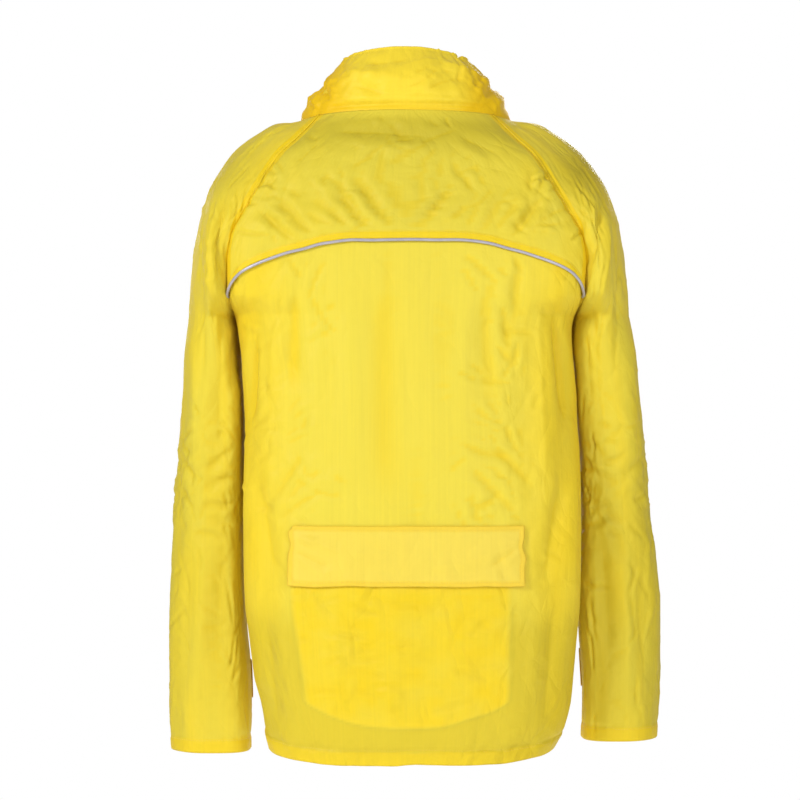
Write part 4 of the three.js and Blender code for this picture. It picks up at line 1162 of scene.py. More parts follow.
def make_tube(name, p, material, ends=True, **marks):
    """A closed tube from rings of points, one row for each ring. Its ends are closed by flat faces, and
    the faces are turned outwards if the volume they enclose comes out negative."""
    rings, sides = p.shape[:2]
    number = np.arange(rings * sides).reshape(rings, sides)
    after = np.roll(number, -1, axis=1)
    faces = np.stack([number[:-1], after[:-1], after[1:], number[1:]], -1).reshape(-1, 4)
    a, b, c = (p.reshape(-1, 3)[faces[:, k]] - p.reshape(-1, 3).mean(0) for k in (0, 1, 2))
    turned = np.einsum("ij,ij->i", a, np.cross(b, c)).sum() < 0
    faces = faces[:, ::-1] if turned else faces
    caps = [number[0, ::-1].tolist(), number[-1].tolist()]
    caps = [cap[::-1] for cap in caps] if turned else caps
    mesh = bpy.data.meshes.new(name)
    mesh.from_pydata((p.reshape(-1, 3) * MM).tolist(), [], faces.tolist() + (caps if ends else []))
    mesh.shade_smooth()
    for mark, plain in MARKS.items():
        value = np.broadcast_to(marks.get(mark, plain), (rings, sides)).reshape(-1)
        mesh.attributes.new(mark, "FLOAT", "POINT").data.foreach_set("value", value.astype(np.float32))
    layer = mesh.uv_layers.new(name="cloth")
    corner = np.array([loop.vertex_index for loop in mesh.loops])
    run = np.concatenate([[0], np.cumsum(np.linalg.norm(np.diff(p.mean(1), axis=0), axis=1))])
    girth = np.linalg.norm(np.diff(p[rings // 2], axis=0), axis=1).sum()
    flat = np.stack([(corner % sides) / sides * girth, run[corner // sides]], -1) * MM
    layer.data.foreach_set("uv", flat.reshape(-1).astype(np.float32))
    piece = bpy.data.objects.new(name, mesh)
    bpy.context.scene.collection.objects.link(piece)
    mesh.materials.append(material)
    return piece


def frames_along(path, up):
    """Each point's side and upright directions: the path's own direction crossed with up, and again."""
    ahead = np.gradient(path, axis=0)
    ahead /= np.linalg.norm(ahead, axis=1, keepdims=True)
    side = np.cross(ahead, up)
    side /= np.linalg.norm(side, axis=1, keepdims=True)
    return side, np.cross(side, ahead)


def carried(profile, path, up):
    """A profile of (sideways, upright) points carried along a path. Up is one direction or one a point."""
    side, upright = frames_along(path, np.broadcast_to(up, path.shape))
    profile = np.asarray(profile, float)
    out = path[:, None] + side[:, None] * profile[None, :, :1]
    return out + upright[:, None] * profile[None, :, 1:]


def round_profile(radius, sides=12, flat=1.0):
    """A circle of points, squashed upright by flat."""
    a = np.linspace(0, 2 * np.pi, sides, endpoint=False)
    return np.stack([np.cos(a) * radius, np.sin(a) * radius * flat], -1)


# %% Rolled hood


def collar_out(turn, v):
    """The way out of the collar at a point: its two directions crossed, turned away from the neck."""
    e = 1e-3
    round_it = collar_surface(turn + e, v) - collar_surface(turn - e, v)
    up_it = collar_surface(turn, v + e) - collar_surface(turn, v - e)
    n = np.cross(round_it, up_it)
    n /= np.linalg.norm(n, axis=-1, keepdims=True)
    away = np.sum(n * collar_surface(turn, v) * (1, 1, 0), axis=-1, keepdims=True)
    return n * np.sign(away)


def hood_roll(rings=150, sides=32):
    """A flattened tube along the gap's middle. It is half the collar high and takes most of the gap, and
    both shrink away at the ends. Shallow folds run along the roll and small wrinkles across it."""
    turn = np.linspace(-1, 1, rings)[:, None] * math.radians(82)
    end = np.sqrt(np.clip(1 - (turn / math.radians(82.6)) ** 8, 0, 1))
    angle = np.linspace(0, 2 * np.pi, sides, endpoint=False)[None]
    turn = turn + 0 * angle
    v = 0.58 + 0.27 * np.cos(angle) * end
    room = collar_gap(turn, v) - 3.6
    fold = 0.05 * np.sin(5 * angle + 0.6) + 0.05 * hills(turn * 90, angle * 20, 9, 90)
    depth = 2.9 + room * (0.44 + (0.36 + fold) * np.sin(angle) * end)
    return collar_surface(turn, v) - collar_out(turn, v) * depth[..., None]


hood = make_tube("rolled_hood", hood_roll(), double_cloth, doubled=0.5)
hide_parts("stowed_hood")
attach(hood, "jacket_body")
print("hood roll", len(hood.data.polygons), "faces")

# %% [markdown]
# ## Piping and vent
# The piping is a cord wrapped in reflective tape, sewn between the yoke and its facing: a round tube that
# follows the yoke's edge. The vent behind the yoke is knitted mesh, whose round holes are cut by the
# material's transparency, because modelling each of them would cost a million faces.

# %% Reflective piping


def reflective_finish():
    """Grey-lilac glass-bead tape: tiny bright beads in a noise bump, and a soft metallic shine."""
    f = Finish("reflective_tape", tint(178, 173, 186), 0.34, Metallic=0.35, Specular_IOR_Level=0.6)
    spots = f.noise(f.place("UV"), 2600, 2)
    slow = f.spread(f.noise(f.place("Object"), 60, 3), 0, 1)
    colour = f.mix(f.maths("MULTIPLY", slow, 0.5), tint(190, 186, 198), tint(150, 146, 160))
    rough = f.spread(f.noise(f.place("UV"), 300, 3), 0.28, 0.45)
    return f.end(Base_Color=colour, Roughness=rough, Normal=f.bump(spots, 0.00006, 0.5))


def yoke_edge_path(steps=240):
    """The yoke's lower edge, lifted to the yoke's own height, with the small ripples of a sewn cord."""
    across = np.linspace(0.985, -0.985, steps)
    z = curve(YOKE_EDGE, np.sin(np.abs(across) * np.pi / 2) ** BACK_ROUND[0] * 206)
    p = back_at(across, z)
    p[:, 2] += 0.5 * hills(p[:, 0], 0 * z, 24, 101)
    ahead = np.gradient(p, axis=0)
    out = np.stack([ahead[:, 1], -ahead[:, 0], 0 * z], -1)
    out /= np.linalg.norm(out, axis=1, keepdims=True)
    out *= np.sign(np.sum(out * p * (1, 1, 0), axis=1, keepdims=True))
    near_end = ease((1 - np.abs(across)) / 0.10)
    return p + out * (1.0 + 1.7 * near_end)[:, None], out


piping_path, piping_out = yoke_edge_path()
piping_rings = carried(round_profile(1.75, 12), piping_path, piping_out)
piping = make_tube("reflective_piping_tape", piping_rings, reflective_finish())
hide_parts("reflective_piping")
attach(piping, "jacket_body")

# %% Vent mesh


def mesh_finish():
    """Knitted mesh: round holes on a lattice, cut where two crossing waves are both high."""
    f = Finish("vent_mesh", tint(236, 226, 120), 0.75, Sheen_Weight=0.15)
    along = f.add("TexWave", Vector=f.place("UV"), Scale=110.0)
    down = f.add("TexWave", Vector=f.place("UV"), Scale=110.0)
    down.bands_direction = "Y"
    product = f.maths("MULTIPLY", along.outputs["Fac"], down.outputs["Fac"])
    solid = f.maths("LESS_THAN", product, 0.42)
    return f.end(Alpha=solid, Normal=f.bump(product, 0.0002, 0.5))


VENT_INSET = 5.0


def vent(rows=40):
    """The back's surface from the collar seam to just below the yoke's edge, five millimetres inside."""
    across, v = np.meshgrid(SIDE_STEPS[::2] * 0.96, np.linspace(0, 1, rows))
    neck = neck_at(across * BACK_RAGLAN)
    top = neck[..., 2] - 4
    foot = curve(YOKE_EDGE, np.sin(np.abs(across) * np.pi / 2) ** BACK_ROUND[0] * 206) + 14
    p = back_at(across, top + (foot - top) * v)
    fade = np.clip(1 - v * (top - foot) / 110, 0, 1) ** 2
    p += (neck - back_at(across, top)) * fade[..., None]
    return raised(p, np.full(across.shape, -VENT_INSET), p * (0, 0, 1))


vent_points = vent()
vent_piece = make_cloth("vent_mesh_cloth", vent_points, vent_points * (0, 0, 1), mesh_finish(), 0.5)
fit(vent_piece, ["vent_mesh"])

# %% [markdown]
# ## The back pocket
# A wide flap covers a slot in the panel, and the pocket bag hangs inside the back. The flap is two layers
# turned and topstitched, so it is stiffer, paler and smoother than the cloth round it, and it stands a
# little proud along its lower edge.

# %% Flap, bag and patches


def on_body(surface, roundness, x, z, height):
    """Points of the plain body at x and z, raised by a height along the surface's normal: the cross
    product of small steps sideways and up, turned away from the body's upright axis."""
    e = 0.4
    p = surface(across_of(x, z, roundness), z)
    aside = surface(across_of(x + e, z, roundness), z) - surface(across_of(x - e, z, roundness), z)
    above = surface(across_of(x, z + e, roundness), z + e) - surface(across_of(x, z - e, roundness), z - e)
    n = np.cross(aside, above)
    n /= np.linalg.norm(n, axis=-1, keepdims=True)
    n *= np.sign(np.sum(n * p * (1, 1, 0), axis=-1, keepdims=True))
    return p + n * np.asarray(height)[..., None]


def on_back(x, z, height):
    """Points on the plain back at x and z, raised by a height."""
    return on_body(back_at, BACK_ROUND, x, z, height + 0 * x)


def flap_surface(columns=150, rows=44):
    """A rectangle on the back. The upper edge is pressed down on its stitches, the middle crowns over
    the slot, and the lower edge and its corners lift and wave slightly."""
    u, v = np.meshgrid(np.linspace(1, -1, columns), np.linspace(0, 1, rows))
    half = (FLAP_HIGH[0] - FLAP_LOW[0]) / 2
    x = u * half
    z = FLAP_HIGH[2] + (FLAP_LOW[2] - FLAP_HIGH[2]) * v
    z = z + (1.0 * hills(x, 0 * z, 40, 111) + 0.5 * hills(x, 0 * z, 14, 112)) * ease((v - 0.7) / 0.3)
    left_pinch = -3.2 * np.exp(-(((v - 0.32) / 0.12) ** 2)) - 4 * ease((0.12 - v) / 0.12)
    right_pinch = -2.6 * np.exp(-(((v - 0.34) / 0.1) ** 2)) + 1.8 * np.exp(-(((v - 0.55) / 0.09) ** 2))
    x = x + np.where(u > 0, left_pinch, -right_pinch) * np.abs(u) ** 14
    z = z - 3.0 * np.clip((u - 0.965) / 0.035, 0, 1) ** 2 * ease((0.1 - v) / 0.1)
    edge = np.minimum.reduce([(1 - np.abs(u)) * half, (1 - v) * 69, v * 69])
    lift = 2.3 + 1.4 * ease(v / 0.3) + 1.2 * ease((v - 0.6) / 0.4)
    stitch = -0.55 * np.exp(-(((edge - 5) / 1.3) ** 2)) - 0.4 * ease((1.5 - edge) / 1.5)
    folds = grooves(x, z, [((-60, -520), (-128, -500), 9, 1.0), ((40, -500), (90, -540), 11, 0.9),
                           ((0, -512), (60, -498), 8, -0.7), ((-20, -536), (-96, -530), 7, -0.7),
                           ((124, -490), (100, -500), 4, 1.4), ((128, -506), (84, -528), 4, -1.3),
                           ((120, -488), (70, -512), 5, 1.2), ((-126, -504), (-92, -528), 4, -1.2),
                           ((-40, -496), (-46, -556), 7, 1.0), ((-104, -494), (-112, -552), 6, -1.0)])
    small = 0.5 * crinkle(x, z, 30, 114) + 0.25 * crinkle(x, z, 12, 117, 4) + 0.7 * hills(x, z, 50, 118)
    pucker = 0.35 * hills(x, z, 6, 119) * np.exp(-(((edge - 5) / 4) ** 2))
    height = lift + stitch + (folds + small) * ease(edge / 12) + pucker
    return on_back(x, z, height), 0.25 + 0.5 * ease((7 - edge) / 1.5)


flap, doubled = flap_surface()
flap_cloth = coated_cloth("flap_cloth", tint(255, 236, 98), tint(255, 222, 58), 0.47)
back_flap = make_cloth("back_pocket_flap_cloth", flap, flap * (0, 0, 1), flap_cloth, 1.3, doubled=doubled)
fit(back_flap, ["back_pocket_flap"], "back_pocket_flap")


def hook_finish():
    """Hook-and-loop tape: a dense pile of tiny loops, as a cell bump over mottled colour."""
    f = Finish("hook_and_loop", tint(226, 205, 84), 0.85, Sheen_Weight=0.4, Sheen_Roughness=0.6)
    pile = f.add("TexVoronoi", Vector=f.place("Object"), Scale=1500.0).outputs["Distance"]
    slow = f.spread(f.noise(f.place("Object"), 400, 4), 0, 1)
    colour = f.mix(slow, tint(233, 212, 92), tint(200, 178, 62))
    return f.end(Base_Color=colour, Normal=f.bump(pile, 0.0004, 0.7))


hook_tape = hook_finish()


def tape_patch(low, high, height, columns=40, rows=14):
    """A small rectangle on the back with rounded, pressed edges."""
    u, v = np.meshgrid(np.linspace(1, 0, columns), np.linspace(1, 0, rows))
    x, z = low[0] + (high[0] - low[0]) * u, low[2] + (high[2] - low[2]) * v
    edge = np.minimum.reduce([x - low[0], high[0] - x, z - low[2], high[2] - z])
    return on_back(x, z, height - 0.25 * ease((1.2 - edge) / 1.2))


for node, body, height in (("back_flap_hook_patch", "back_pocket_flap", 1.5),
                           ("back_pocket_loop_patch", "jacket_body", 0.75)):
    p = tape_patch(*node_box(node), height)
    piece = make_cloth(node.replace("patch", "tape"), p, p * (0, 0, 1), hook_tape, 0.45)
    fit(piece, [node], body)


def bag_surface(columns=96, rows=120):
    """Down the near side from the slot, round the foot, and up the far side: the depth follows half a
    circle at the foot. The sides are pinched together and the foot's corners are round."""
    u, t = np.meshgrid(np.linspace(1, -1, columns), np.linspace(0, 2, rows))
    x = u * 120
    foot = BAG_FOOT + 3 + 26 * np.abs(u) ** 2.6
    down = 1 - np.abs(1 - t)
    z = BAG_TOP + (foot - BAG_TOP) * np.clip(down, 0, 1) ** 0.98
    room = 6.2 * ease((1 - np.abs(u)) / 0.12) * ease((1 - down) / 0.06) * (0.75 + 0.25 * hills(x, z, 60, 121))
    depth = 3.4 + np.where(t > 1, room + 1.2, 0)
    creases = 0.5 * crinkle(x, z, 34, 122)
    return on_back(x, z, -(depth + creases * (t > 1) * ease((1 - down) / 0.1)))


bag = bag_surface()
bag_piece = make_cloth("back_pocket_bag_cloth", bag, bag * (0, 0, 1), double_cloth, 0.4, doubled=0.6)
fit(bag_piece, ["back_pocket_bag"])

# %% Hanger loop


def loop_tape(rings=60):
    """A flat tape bent to a U: down one leg, round the bottom by a superellipse, and up the other."""
    low, high = node_box("hanger_loop")
    t = np.linspace(-np.pi / 2, np.pi / 2, rings)
    half, deep = (high[0] - low[0]) / 2 - 0.7, high[2] - low[2] - 0.7
    x = half * signed_power(np.sin(t), 0.35)
    z = high[2] - deep * np.abs(np.cos(t)) ** 0.35
    path = np.stack([x, 0 * t + (low[1] + high[1]) / 2, z], -1)
    profile = [(-0.6, -2.4), (0.6, -2.4), (0.6, 2.4), (-0.6, 2.4)]
    return carried(profile, path, (0, 1, 0))


loop = make_tube("hanger_loop_tape", loop_tape(), double_cloth, doubled=0.8)
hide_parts("hanger_loop")
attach(loop, "jacket_body")

# %% [markdown]
# ## Stitches
# Every seam and hem is sewn with thick thread. One stitch is a short capsule of five rings of six points,
# laid along a line on the cloth at an even pitch and sunk a little, so the thread catches the light.

# %% Thread
STITCH_PITCH = 3.4
STITCH_LONG = 2.5
STITCH_THICK = 0.26


def thread_finish():
    """Spun thread: a fine twist across it and a slight change of yellow from place to place."""
    f = Finish("sewing_thread", tint(250, 222, 70), 0.6, Sheen_Weight=0.2)
    twist = f.noise(f.place("Object", (1, 1, 3)), 2600, 2)
    slow = f.spread(f.noise(f.place("Object"), 40, 3), 0, 1)
    colour = f.mix(slow, tint(252, 226, 80), tint(238, 204, 48))
    return f.end(Base_Color=colour, Normal=f.bump(twist, 0.00006, 0.6))


def spaced(line):
    """Points at the stitch pitch along a line, and the line's direction at each."""
    run = np.concatenate([[0], np.cumsum(np.linalg.norm(np.diff(line, axis=0), axis=1))])
    at = np.arange(STITCH_PITCH, run[-1] - STITCH_PITCH, STITCH_PITCH)
    p, q = (np.stack([np.interp(at + s, run, line[:, k]) for k in range(3)], -1) for s in (-0.6, 0.6))
    ahead = (q - p) / np.linalg.norm(q - p, axis=1, keepdims=True)
    return (p + q) / 2, ahead


def spaced_with_out(line, out):
    """Spaced points, their directions, and the way out of the line's nearest point."""
    place, ahead = spaced(line)
    near = np.argmin(np.linalg.norm(place[:, None] - line[None], axis=2), axis=1)
    return place, ahead, out[near]


def capsules(place, ahead, out):
    """One capsule at each place: rings whose offset is a sum of the three directions."""
    side = np.cross(ahead, out)
    side /= np.linalg.norm(side, axis=1, keepdims=True)
    a = np.linspace(0, 2 * np.pi, 7)[:-1]
    t, r = np.array([-1, -0.85, 0, 0.85, 1]), np.array([0.25, 0.8, 1, 0.8, 0.25])
    along = (t * STITCH_LONG / 2)[:, None] + 0 * a
    aside, up = (r[:, None] * wave * STITCH_THICK for wave in (np.cos(a), np.sin(a)))
    shape = [part[None, ..., None] * way[:, None, None] for part, way in
             ((along, ahead), (aside, side), (up + 0.05, out))]
    return place[:, None, None] + shape[0] + shape[1] + shape[2]


def capsule_faces(points, count):
    """The same quads and end caps for each capsule, turned outwards if their volume comes out
    negative."""
    ring = np.arange(30).reshape(5, 6)
    after = np.roll(ring, -1, axis=1)
    quads = np.stack([ring[1:], after[1:], after[:-1], ring[:-1]], -1).reshape(-1, 4)
    caps = np.array([[0, 1, 2, 3], [0, 3, 4, 5], [27, 26, 25, 24], [29, 28, 27, 24]])
    faces = np.concatenate([quads, caps])[None] + np.arange(count)[:, None, None] * 30
    faces = faces.reshape(-1, 4)
    corner = points[faces[:, :3]] - points.mean(0)
    volume = np.einsum("ij,ij->i", corner[:, 0], np.cross(corner[:, 1], corner[:, 2])).sum()
    return faces[:, ::-1] if volume < 0 else faces


def stitch_rows(name, lines, body="jacket_body"):
    """All the stitches of several lines of (points, way out) as one piece."""
    rows = [spaced_with_out(line, out) for line, out in lines]
    place, ahead, out = (np.concatenate(part) for part in zip(*rows))
    points = capsules(place, ahead, out).reshape(-1, 3)
    piece = fill_mesh(name, points, capsule_faces(points, len(place)), material=sewing_thread)
    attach(piece, body)
    print(name, len(place), "stitches")


def line_where(p, n, distance):
    """The line on a grid that lies a distance above its last row, with the way out at each point."""
    from_foot = np.linalg.norm(np.diff(p[::-1], axis=0), axis=2).cumsum(0)
    row = len(p) - 2 - np.argmin(np.abs(from_foot - distance), axis=0)
    column = np.arange(p.shape[1])
    return p[row, column], n[row, column]


sewing_thread = thread_finish()
panel_out = outward_of(panel, panel * (0, 0, 1))[0]
yoke_out = outward_of(back_yoke_points, back_yoke_points * (0, 0, 1))[0]
flap_out = outward_of(flap, flap * (0, 0, 1))[0]
stitch_rows("back_hem_stitches", [line_where(panel, panel_out, HEM_WIDTH)])
stitch_rows("yoke_edge_stitches", [line_where(back_yoke_points, yoke_out, 8)])
inset = ((np.s_[3], np.s_[2:-2]), (np.s_[2:-2], np.s_[3]), (np.s_[2:-2], np.s_[-4]), (np.s_[-4], np.s_[2:-2]))
stitch_rows("back_flap_stitches", [(flap[at], flap_out[at]) for at in inset], "back_pocket_flap")
for side, word in ((1, "left"), (-1, "right")):
    p = sleeves[side][1]
    middle = p.mean(axis=1, keepdims=True) * (1, 1, 0) + p * (0, 0, 1)
    out = outward_of(p, middle, RAGLAN_ROWS - 1)[0]
    back_edge = p[4:RAGLAN_ROWS - 4, -4], out[4:RAGLAN_ROWS - 4, -4]
    front_edge = p[4:RAGLAN_ROWS - 4, 3], out[4:RAGLAN_ROWS - 4, 3]
    stitch_rows(f"{word}_raglan_stitches", [back_edge, front_edge])
    stitch_rows(f"{word}_cuff_stitches", [line_where(p, out, HEM_WIDTH - 1)], f"{word}_forearm")

# %% [markdown]
# ## Front pockets
# Each front has a patch pocket with a flap over its mouth. The patch is cut fuller than the place it is
# sewn to, so it stands out like a shallow pillow, its edges pulled flat by the stitches, and the flap
# lies over its upper part.

# %% Patch pockets and their flaps


def on_front(x, z, height):
    """Points on the plain front at x and z, raised by a height."""
    return on_body(front_at, FRONT_ROUND, x, z, height + 0 * x)


def rectangle(side, x0, x1, z0, z1, columns, rows):
    """Grids of x and z over a rectangle on one side, and how far each point is from its nearest edge."""
    u, v = np.meshgrid(np.linspace(0, 1, columns), np.linspace(0, 1, rows))
    x, z = x0 + (x1 - x0) * u, z0 + (z1 - z0) * v
    edge = np.minimum.reduce([x - x0, x1 - x, z0 - z, z - z1])
    return side * x, z, edge, v


POCKET_X = (48, 160)
POCKET_TOP = -500
POCKET_FOOT = -672


def pocket_patch(side):
    """The patch: sewn flat at its edges, up to nine millimetres off the panel inside them, deepest low
    down where it sags, with gathers that run in from the edges."""
    x, z, edge, v = rectangle(side, *POCKET_X, POCKET_TOP + 16, POCKET_FOOT, 66, 110)
    mouth = np.minimum.reduce([np.abs(x) - POCKET_X[0], POCKET_X[1] - np.abs(x), z - POCKET_FOOT])
    full = 8.2 * ease(mouth / 26) * (0.72 + 0.28 * ease((v - 0.2) / 0.5))
    stitch = -0.5 * np.exp(-(((mouth - 4) / 1.4) ** 2))
    gather = 0.8 * hills(x, z, 12, 131 + side) * np.exp(-(((mouth - 9) / 9) ** 2))
    small = (0.9 * crinkle(x, z, 26, 133 + side) + 0.9 * hills(x, z, 40, 135 + side)) * ease(mouth / 18)
    height = 1.0 + full + stitch + gather + small
    return on_front(x, z, height), 0.75 * ease((7 - mouth) / 1.5) + 0.2


def pocket_flap(side):
    """The flap: sewn down along its top, stepping over the patch's mouth, stiff and slightly waved."""
    top, foot = POCKET_TOP + 22, POCKET_TOP - 42
    x, z, edge, v = rectangle(side, POCKET_X[0] - 4, POCKET_X[1] + 4, top, foot, 72, 44)
    z = z + 0.8 * hills(x, 0 * z, 34, 141 + side) * ease((v - 0.7) / 0.3)
    step = 2.0 + 11.8 * ease(v / 0.34) + 0.6 * ease((v - 0.6) / 0.4)
    stitch = -0.5 * np.exp(-(((edge - 5) / 1.3) ** 2)) - 0.4 * ease((1.5 - edge) / 1.5)
    small = (0.5 * crinkle(x, z, 28, 143 + side) + 0.6 * hills(x, z, 45, 145 + side)) * ease(edge / 12)
    return on_front(x, z, step + stitch + small), 0.25 + 0.5 * ease((7 - edge) / 1.5)


for side, word in ((1, "left"), (-1, "right")):
    p, doubled = pocket_patch(side)
    piece = make_cloth(f"{word}_pocket_cloth", p, p * (0, 0, 1), shell_cloth, 0.5, doubled=doubled)
    fit(piece, [f"{word}_pocket_bag"])
    p, doubled = pocket_flap(side)
    piece = make_cloth(f"{word}_pocket_flap_cloth", p, p * (0, 0, 1), flap_cloth, 1.2, doubled=doubled)
    fit(piece, [f"{word}_pocket_flap"], f"{word}_pocket_flap")

# %% [markdown]
# ## Cuffs
# Each cuff is drawn in by a strap that is sewn down at the back of the wrist and closes on a patch of
# loop tape at its inner side. The strap is two layers of cloth with a row of stitches round it.

# %% Cuff straps


def on_cuff(side, low_angle, high_angle, low, high, height, columns=48, rows=18):
    """A patch of the forearm's tube between two angles and two heights, raised along the way out."""
    a, z = np.meshgrid(np.radians(np.linspace(low_angle, high_angle, columns)), np.linspace(high, low, rows))
    p = tube_at(side, z, a)
    middle = tube_at(side, z, 0 * a) / 2 + tube_at(side, z, 0 * a + np.pi) / 2
    edge = np.minimum.reduce([(z - low), (high - z)])
    run = np.linspace(0, 1, columns)[None] + 0 * z
    ends = np.minimum(run, 1 - run) * np.radians(high_angle - low_angle) * 50
    edge = np.minimum(edge, ends)
    press = -0.35 * np.exp(-(((edge - 3) / 1.0) ** 2)) - 0.3 * ease((1.2 - edge) / 1.2)
    wave = 0.4 * hills(a * 50, z, 16, 151 + side) * ease(edge / 6)
    return raised(p, height + press + wave, middle), middle, edge


for side, word in ((1, "left"), (-1, "right")):
    low = CUFF[side] + 60
    for part, start, end, foot, top, height, thick, cloth, slot, body in (
            ("cuff_anchor", 184, 208, 0, 46, 1.9, 0.9, double_cloth, "double_cloth", f"{word}_forearm"),
            ("cuff_strap", 212, 330, 2, 44, 3.3, 1.1, flap_cloth, "double_cloth", f"{word}_cuff_strap"),
            ("cuff_loop_patch", 262, 326, 8, 38, 1.7, 0.5, hook_tape, "hook_and_loop", f"{word}_forearm")):
        p, middle, edge = on_cuff(side, start, end, low + foot, low + top, height)
        marks = 0.3 + 0.5 * ease((4.5 - edge) / 1.2)
        piece = make_cloth(f"{word}_{part}_cloth", p, middle, cloth, thick, doubled=marks)
        fit(piece, [f"{word}_{part}"], body)

# %% [markdown]
# ## The zip
# A moulded zip: woven tape on each side, plastic teeth locked into one another, and a metal slider with a
# pull tab. The tape and the teeth are drawn along the zip's own line, and the metal parts keep the packed
# solids, which already have their real shape.

# %% Zip tapes and teeth
ZIP_TOP = np.array([0, -97, 10.0])
ZIP_FOOT = np.array([0, -128, -725.0])
ZIP_DOWN = (ZIP_FOOT - ZIP_TOP) / np.linalg.norm(ZIP_FOOT - ZIP_TOP)
ZIP_OUT = np.cross(ZIP_DOWN, (1, 0, 0))


def on_zip(x, down, out):
    """A point by its place across the zip, down it and out from it."""
    x, down, out = np.broadcast_arrays(x, down, out)
    return ZIP_TOP + x[..., None] * (1, 0, 0) + down[..., None] * ZIP_DOWN + out[..., None] * ZIP_OUT


def zip_tape(side, columns=12, rows=360):
    """A narrow woven strip behind the front's edge, thicker at its corded inner edge."""
    u, v = np.meshgrid(np.linspace(0, 1, columns), np.linspace(4, 722, rows))
    cord = 0.35 * np.exp(-(((u - 0.1) / 0.1) ** 2))
    return on_zip(side * (0.6 + 10.2 * u), v, -2.5 + cord + 0.08 * np.sin(v * 2.2))


def tape_finish():
    """Woven tape: close ribs across it and a slightly darker yellow."""
    f = Finish("zip_tape", tint(232, 205, 58), 0.75, Sheen_Weight=0.2)
    ribs = f.add("TexWave", Vector=f.place("UV"), Scale=420.0)
    ribs.bands_direction = "DIAGONAL"
    slow = f.spread(f.noise(f.place("Object"), 90, 3), 0, 1)
    colour = f.mix(slow, tint(238, 212, 66), tint(222, 193, 48))
    return f.end(Base_Color=colour, Normal=f.bump(ribs.outputs["Fac"], 0.0001, 0.6))


def zip_teeth(side):
    """One tooth is a short loft of five octagons, from a foot on the tape to a rounded head past the
    middle. It is repeated by adding each place down the zip to the same points."""
    size = np.array([1.35, 1.5, 1.15, 1.45, 0.7])
    reach = np.array([3.5, 2.2, 0.9, -0.7, -1.35]) * side
    a = np.linspace(0, 2 * np.pi, 9)[:-1] + np.pi / 8
    along = np.stack([np.cos(a)] * 5) * size[:, None] * 0.98
    out = np.stack([np.sin(a)] * 5) * size[:, None] * 0.85
    places = np.arange(16.2 if side > 0 else 14.2, 713, 4)[:, None, None]
    p = on_zip(reach[None, :, None], places + along[None], np.broadcast_to(out, (1, *out.shape)))
    ring = np.arange(40).reshape(5, 8)
    after = np.roll(ring, -1, axis=1)
    quads = np.stack([ring[:-1], after[:-1], after[1:], ring[1:]], -1).reshape(-1, 4)
    caps = np.stack([ring[0, [0, 7, 6, 5]], ring[0, [0, 5, 4, 3]], ring[0, [0, 3, 2, 1]],
                     ring[4, [0, 1, 2, 3]], ring[4, [0, 3, 4, 5]], ring[4, [0, 5, 6, 7]]])
    one = np.concatenate([quads, caps])
    one = one[:, ::-1] if side < 0 else one
    faces = one[None] + np.arange(len(places))[:, None, None] * 40
    return p.reshape(-1, 3), faces.reshape(-1, 4)


def plastic_finish(name, light, dark, roughness):
    """Moulded plastic: even gloss, a faint flow of colour and a fine matt grain."""
    f = Finish(name, light, roughness, Specular_IOR_Level=0.5)
    slow = f.spread(f.noise(f.place("Object"), 130, 3), 0, 1)
    grain = f.noise(f.place("Object"), 2400, 2)
    rough = f.spread(f.noise(f.place("Object"), 300, 3), roughness - 0.06, roughness + 0.08)
    return f.end(Base_Color=f.mix(slow, light, dark), Roughness=rough, Normal=f.bump(grain, 0.00003, 0.5))


tape_cloth = tape_finish()
tooth_plastic = plastic_finish("tooth_plastic", tint(243, 216, 66), tint(230, 200, 50), 0.34)
for side, word in ((1, "left"), (-1, "right")):
    p = zip_tape(side)
    piece = make_cloth(f"zip_tape_{word}_weave", p, p * (0, 0, 1), tape_cloth, 0.5, doubled=0.5)
    fit(piece, [f"zip_tape_{word}"])
    points, faces = zip_teeth(side)
    teeth = fill_mesh(f"zip_teeth_{word}_row", points, faces, material=tooth_plastic)
    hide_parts(f"zip_teeth_{word}")
    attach(teeth, "jacket_body")
    print(teeth.name, len(points) // 40, "teeth")

# %% [markdown]
# ## Inside the edges
# A placket lies behind the zip to keep rain out, and the hem is turned up inside with eyelets for a cord.

# %% Storm placket and hem lining


def placket(columns=24, rows=200):
    """A strip behind the zip that follows the front, slightly waved as a loose layer is."""
    low, high = node_box("storm_placket")
    u, v = np.meshgrid(np.linspace(-1, 1, columns), np.linspace(high[2], low[2], rows))
    wave = 0.35 * hills(u * 32, v, 26, 161)
    return on_front(u * 32, v, -5.2 + wave)


p = placket()
piece = make_cloth("storm_placket_cloth", p, p * (0, 0, 1), double_cloth, 0.5, doubled=0.4)
fit(piece, ["storm_placket"])


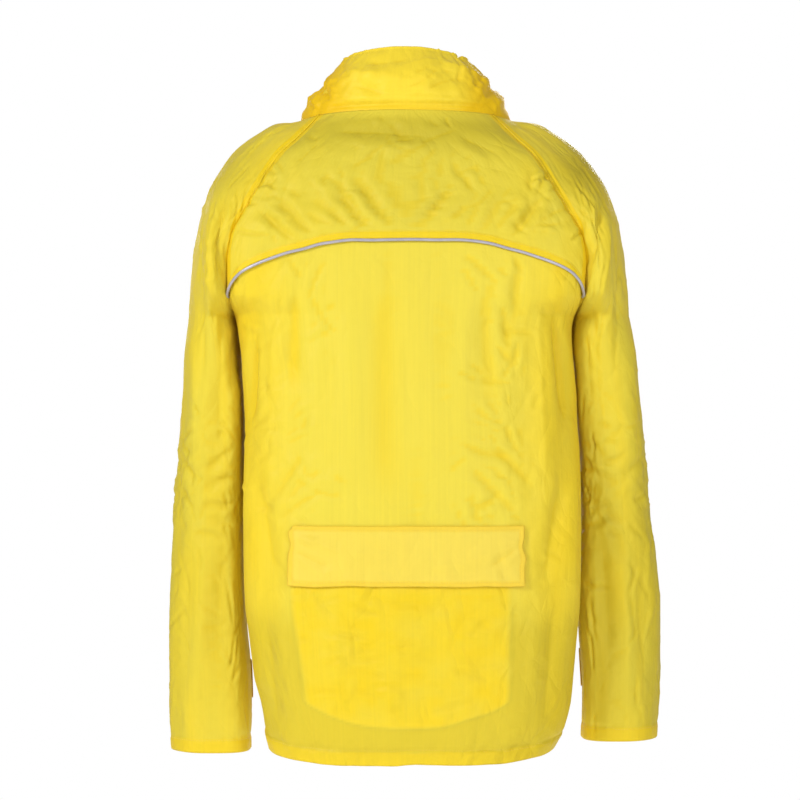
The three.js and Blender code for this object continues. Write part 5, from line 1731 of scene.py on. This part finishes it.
def hem_lining(columns=420, rows=12):
    """The turned-up cloth inside the hem, once round from zip to zip: half the steps on the back and
    half on the fronts, set in by five millimetres."""
    half, v = np.meshgrid(np.linspace(2, -2, columns), np.linspace(0, 1, rows))
    side, w = np.sign(half), 2 - np.abs(half)
    behind = np.abs(half) <= 1
    back_z = HEM + 12 * half**2 + 1.4 + 16 * (1 - v)
    front_z = FRONT_HEM - 3 * w * w + 1.4 + 16 * (1 - v)
    start = across_of(20.0, front_z, FRONT_ROUND)
    back = back_at(np.clip(half, -1, 1), back_z)
    p = np.where(behind[..., None], back, front_at(side * (start + (1 - start) * w), front_z))
    ripple = 0.4 * hills(half * 190, 0 * v, 9, 162) * v
    return raised(p, ripple - 5.3, p * (0, 0, 1))


p = hem_lining()
piece = make_cloth("hem_lining_cloth", p, p * (0, 0, 1), double_cloth, 0.5, doubled=0.5)
fit(piece, ["hem_band"])

# %% [markdown]
# ## Metal and moulded parts
# The slider, the pull tab, the eyelets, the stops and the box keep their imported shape. Cast metal is not
# one grey: it has a brushed grain, duller hollows and bright rubbed places, which noise gives it here.

# %% Finishes of the small hard parts


def cast_metal(name, light, dark, roughness):
    """Cast and tumbled metal: broad colour change, roughness that varies, and a fine grain."""
    f = Finish(name, light, roughness, Metallic=1.0)
    slow = f.spread(f.noise(f.place("Object"), 220, 4), 0, 1)
    rough = f.spread(f.noise(f.place("Object"), 500, 4), roughness - 0.08, roughness + 0.14)
    grain = f.noise(f.place("Object", (900, 900, 5000)), 1.0, 3)
    return f.end(Base_Color=f.mix(slow, light, dark), Roughness=rough, Normal=f.bump(grain, 0.00004, 0.5))


slider_metal = cast_metal("slider_metal", tint(205, 203, 196), tint(168, 166, 160), 0.3)
eyelet_metal = cast_metal("eyelet_metal", tint(176, 172, 160), tint(132, 128, 118), 0.34)
stop_plastic = plastic_finish("stop_plastic", tint(236, 208, 62), tint(222, 192, 48), 0.38)
for name, finish in (("zip_slider", slider_metal), ("zip_puller", slider_metal),
                     ("hem_eyelet_left", eyelet_metal), ("hem_eyelet_right", eyelet_metal),
                     ("zip_top_stop_left", stop_plastic), ("zip_top_stop_right", stop_plastic),
                     ("zip_box", stop_plastic)):
    nodes[name].data.materials.clear()
    nodes[name].data.materials.append(finish)
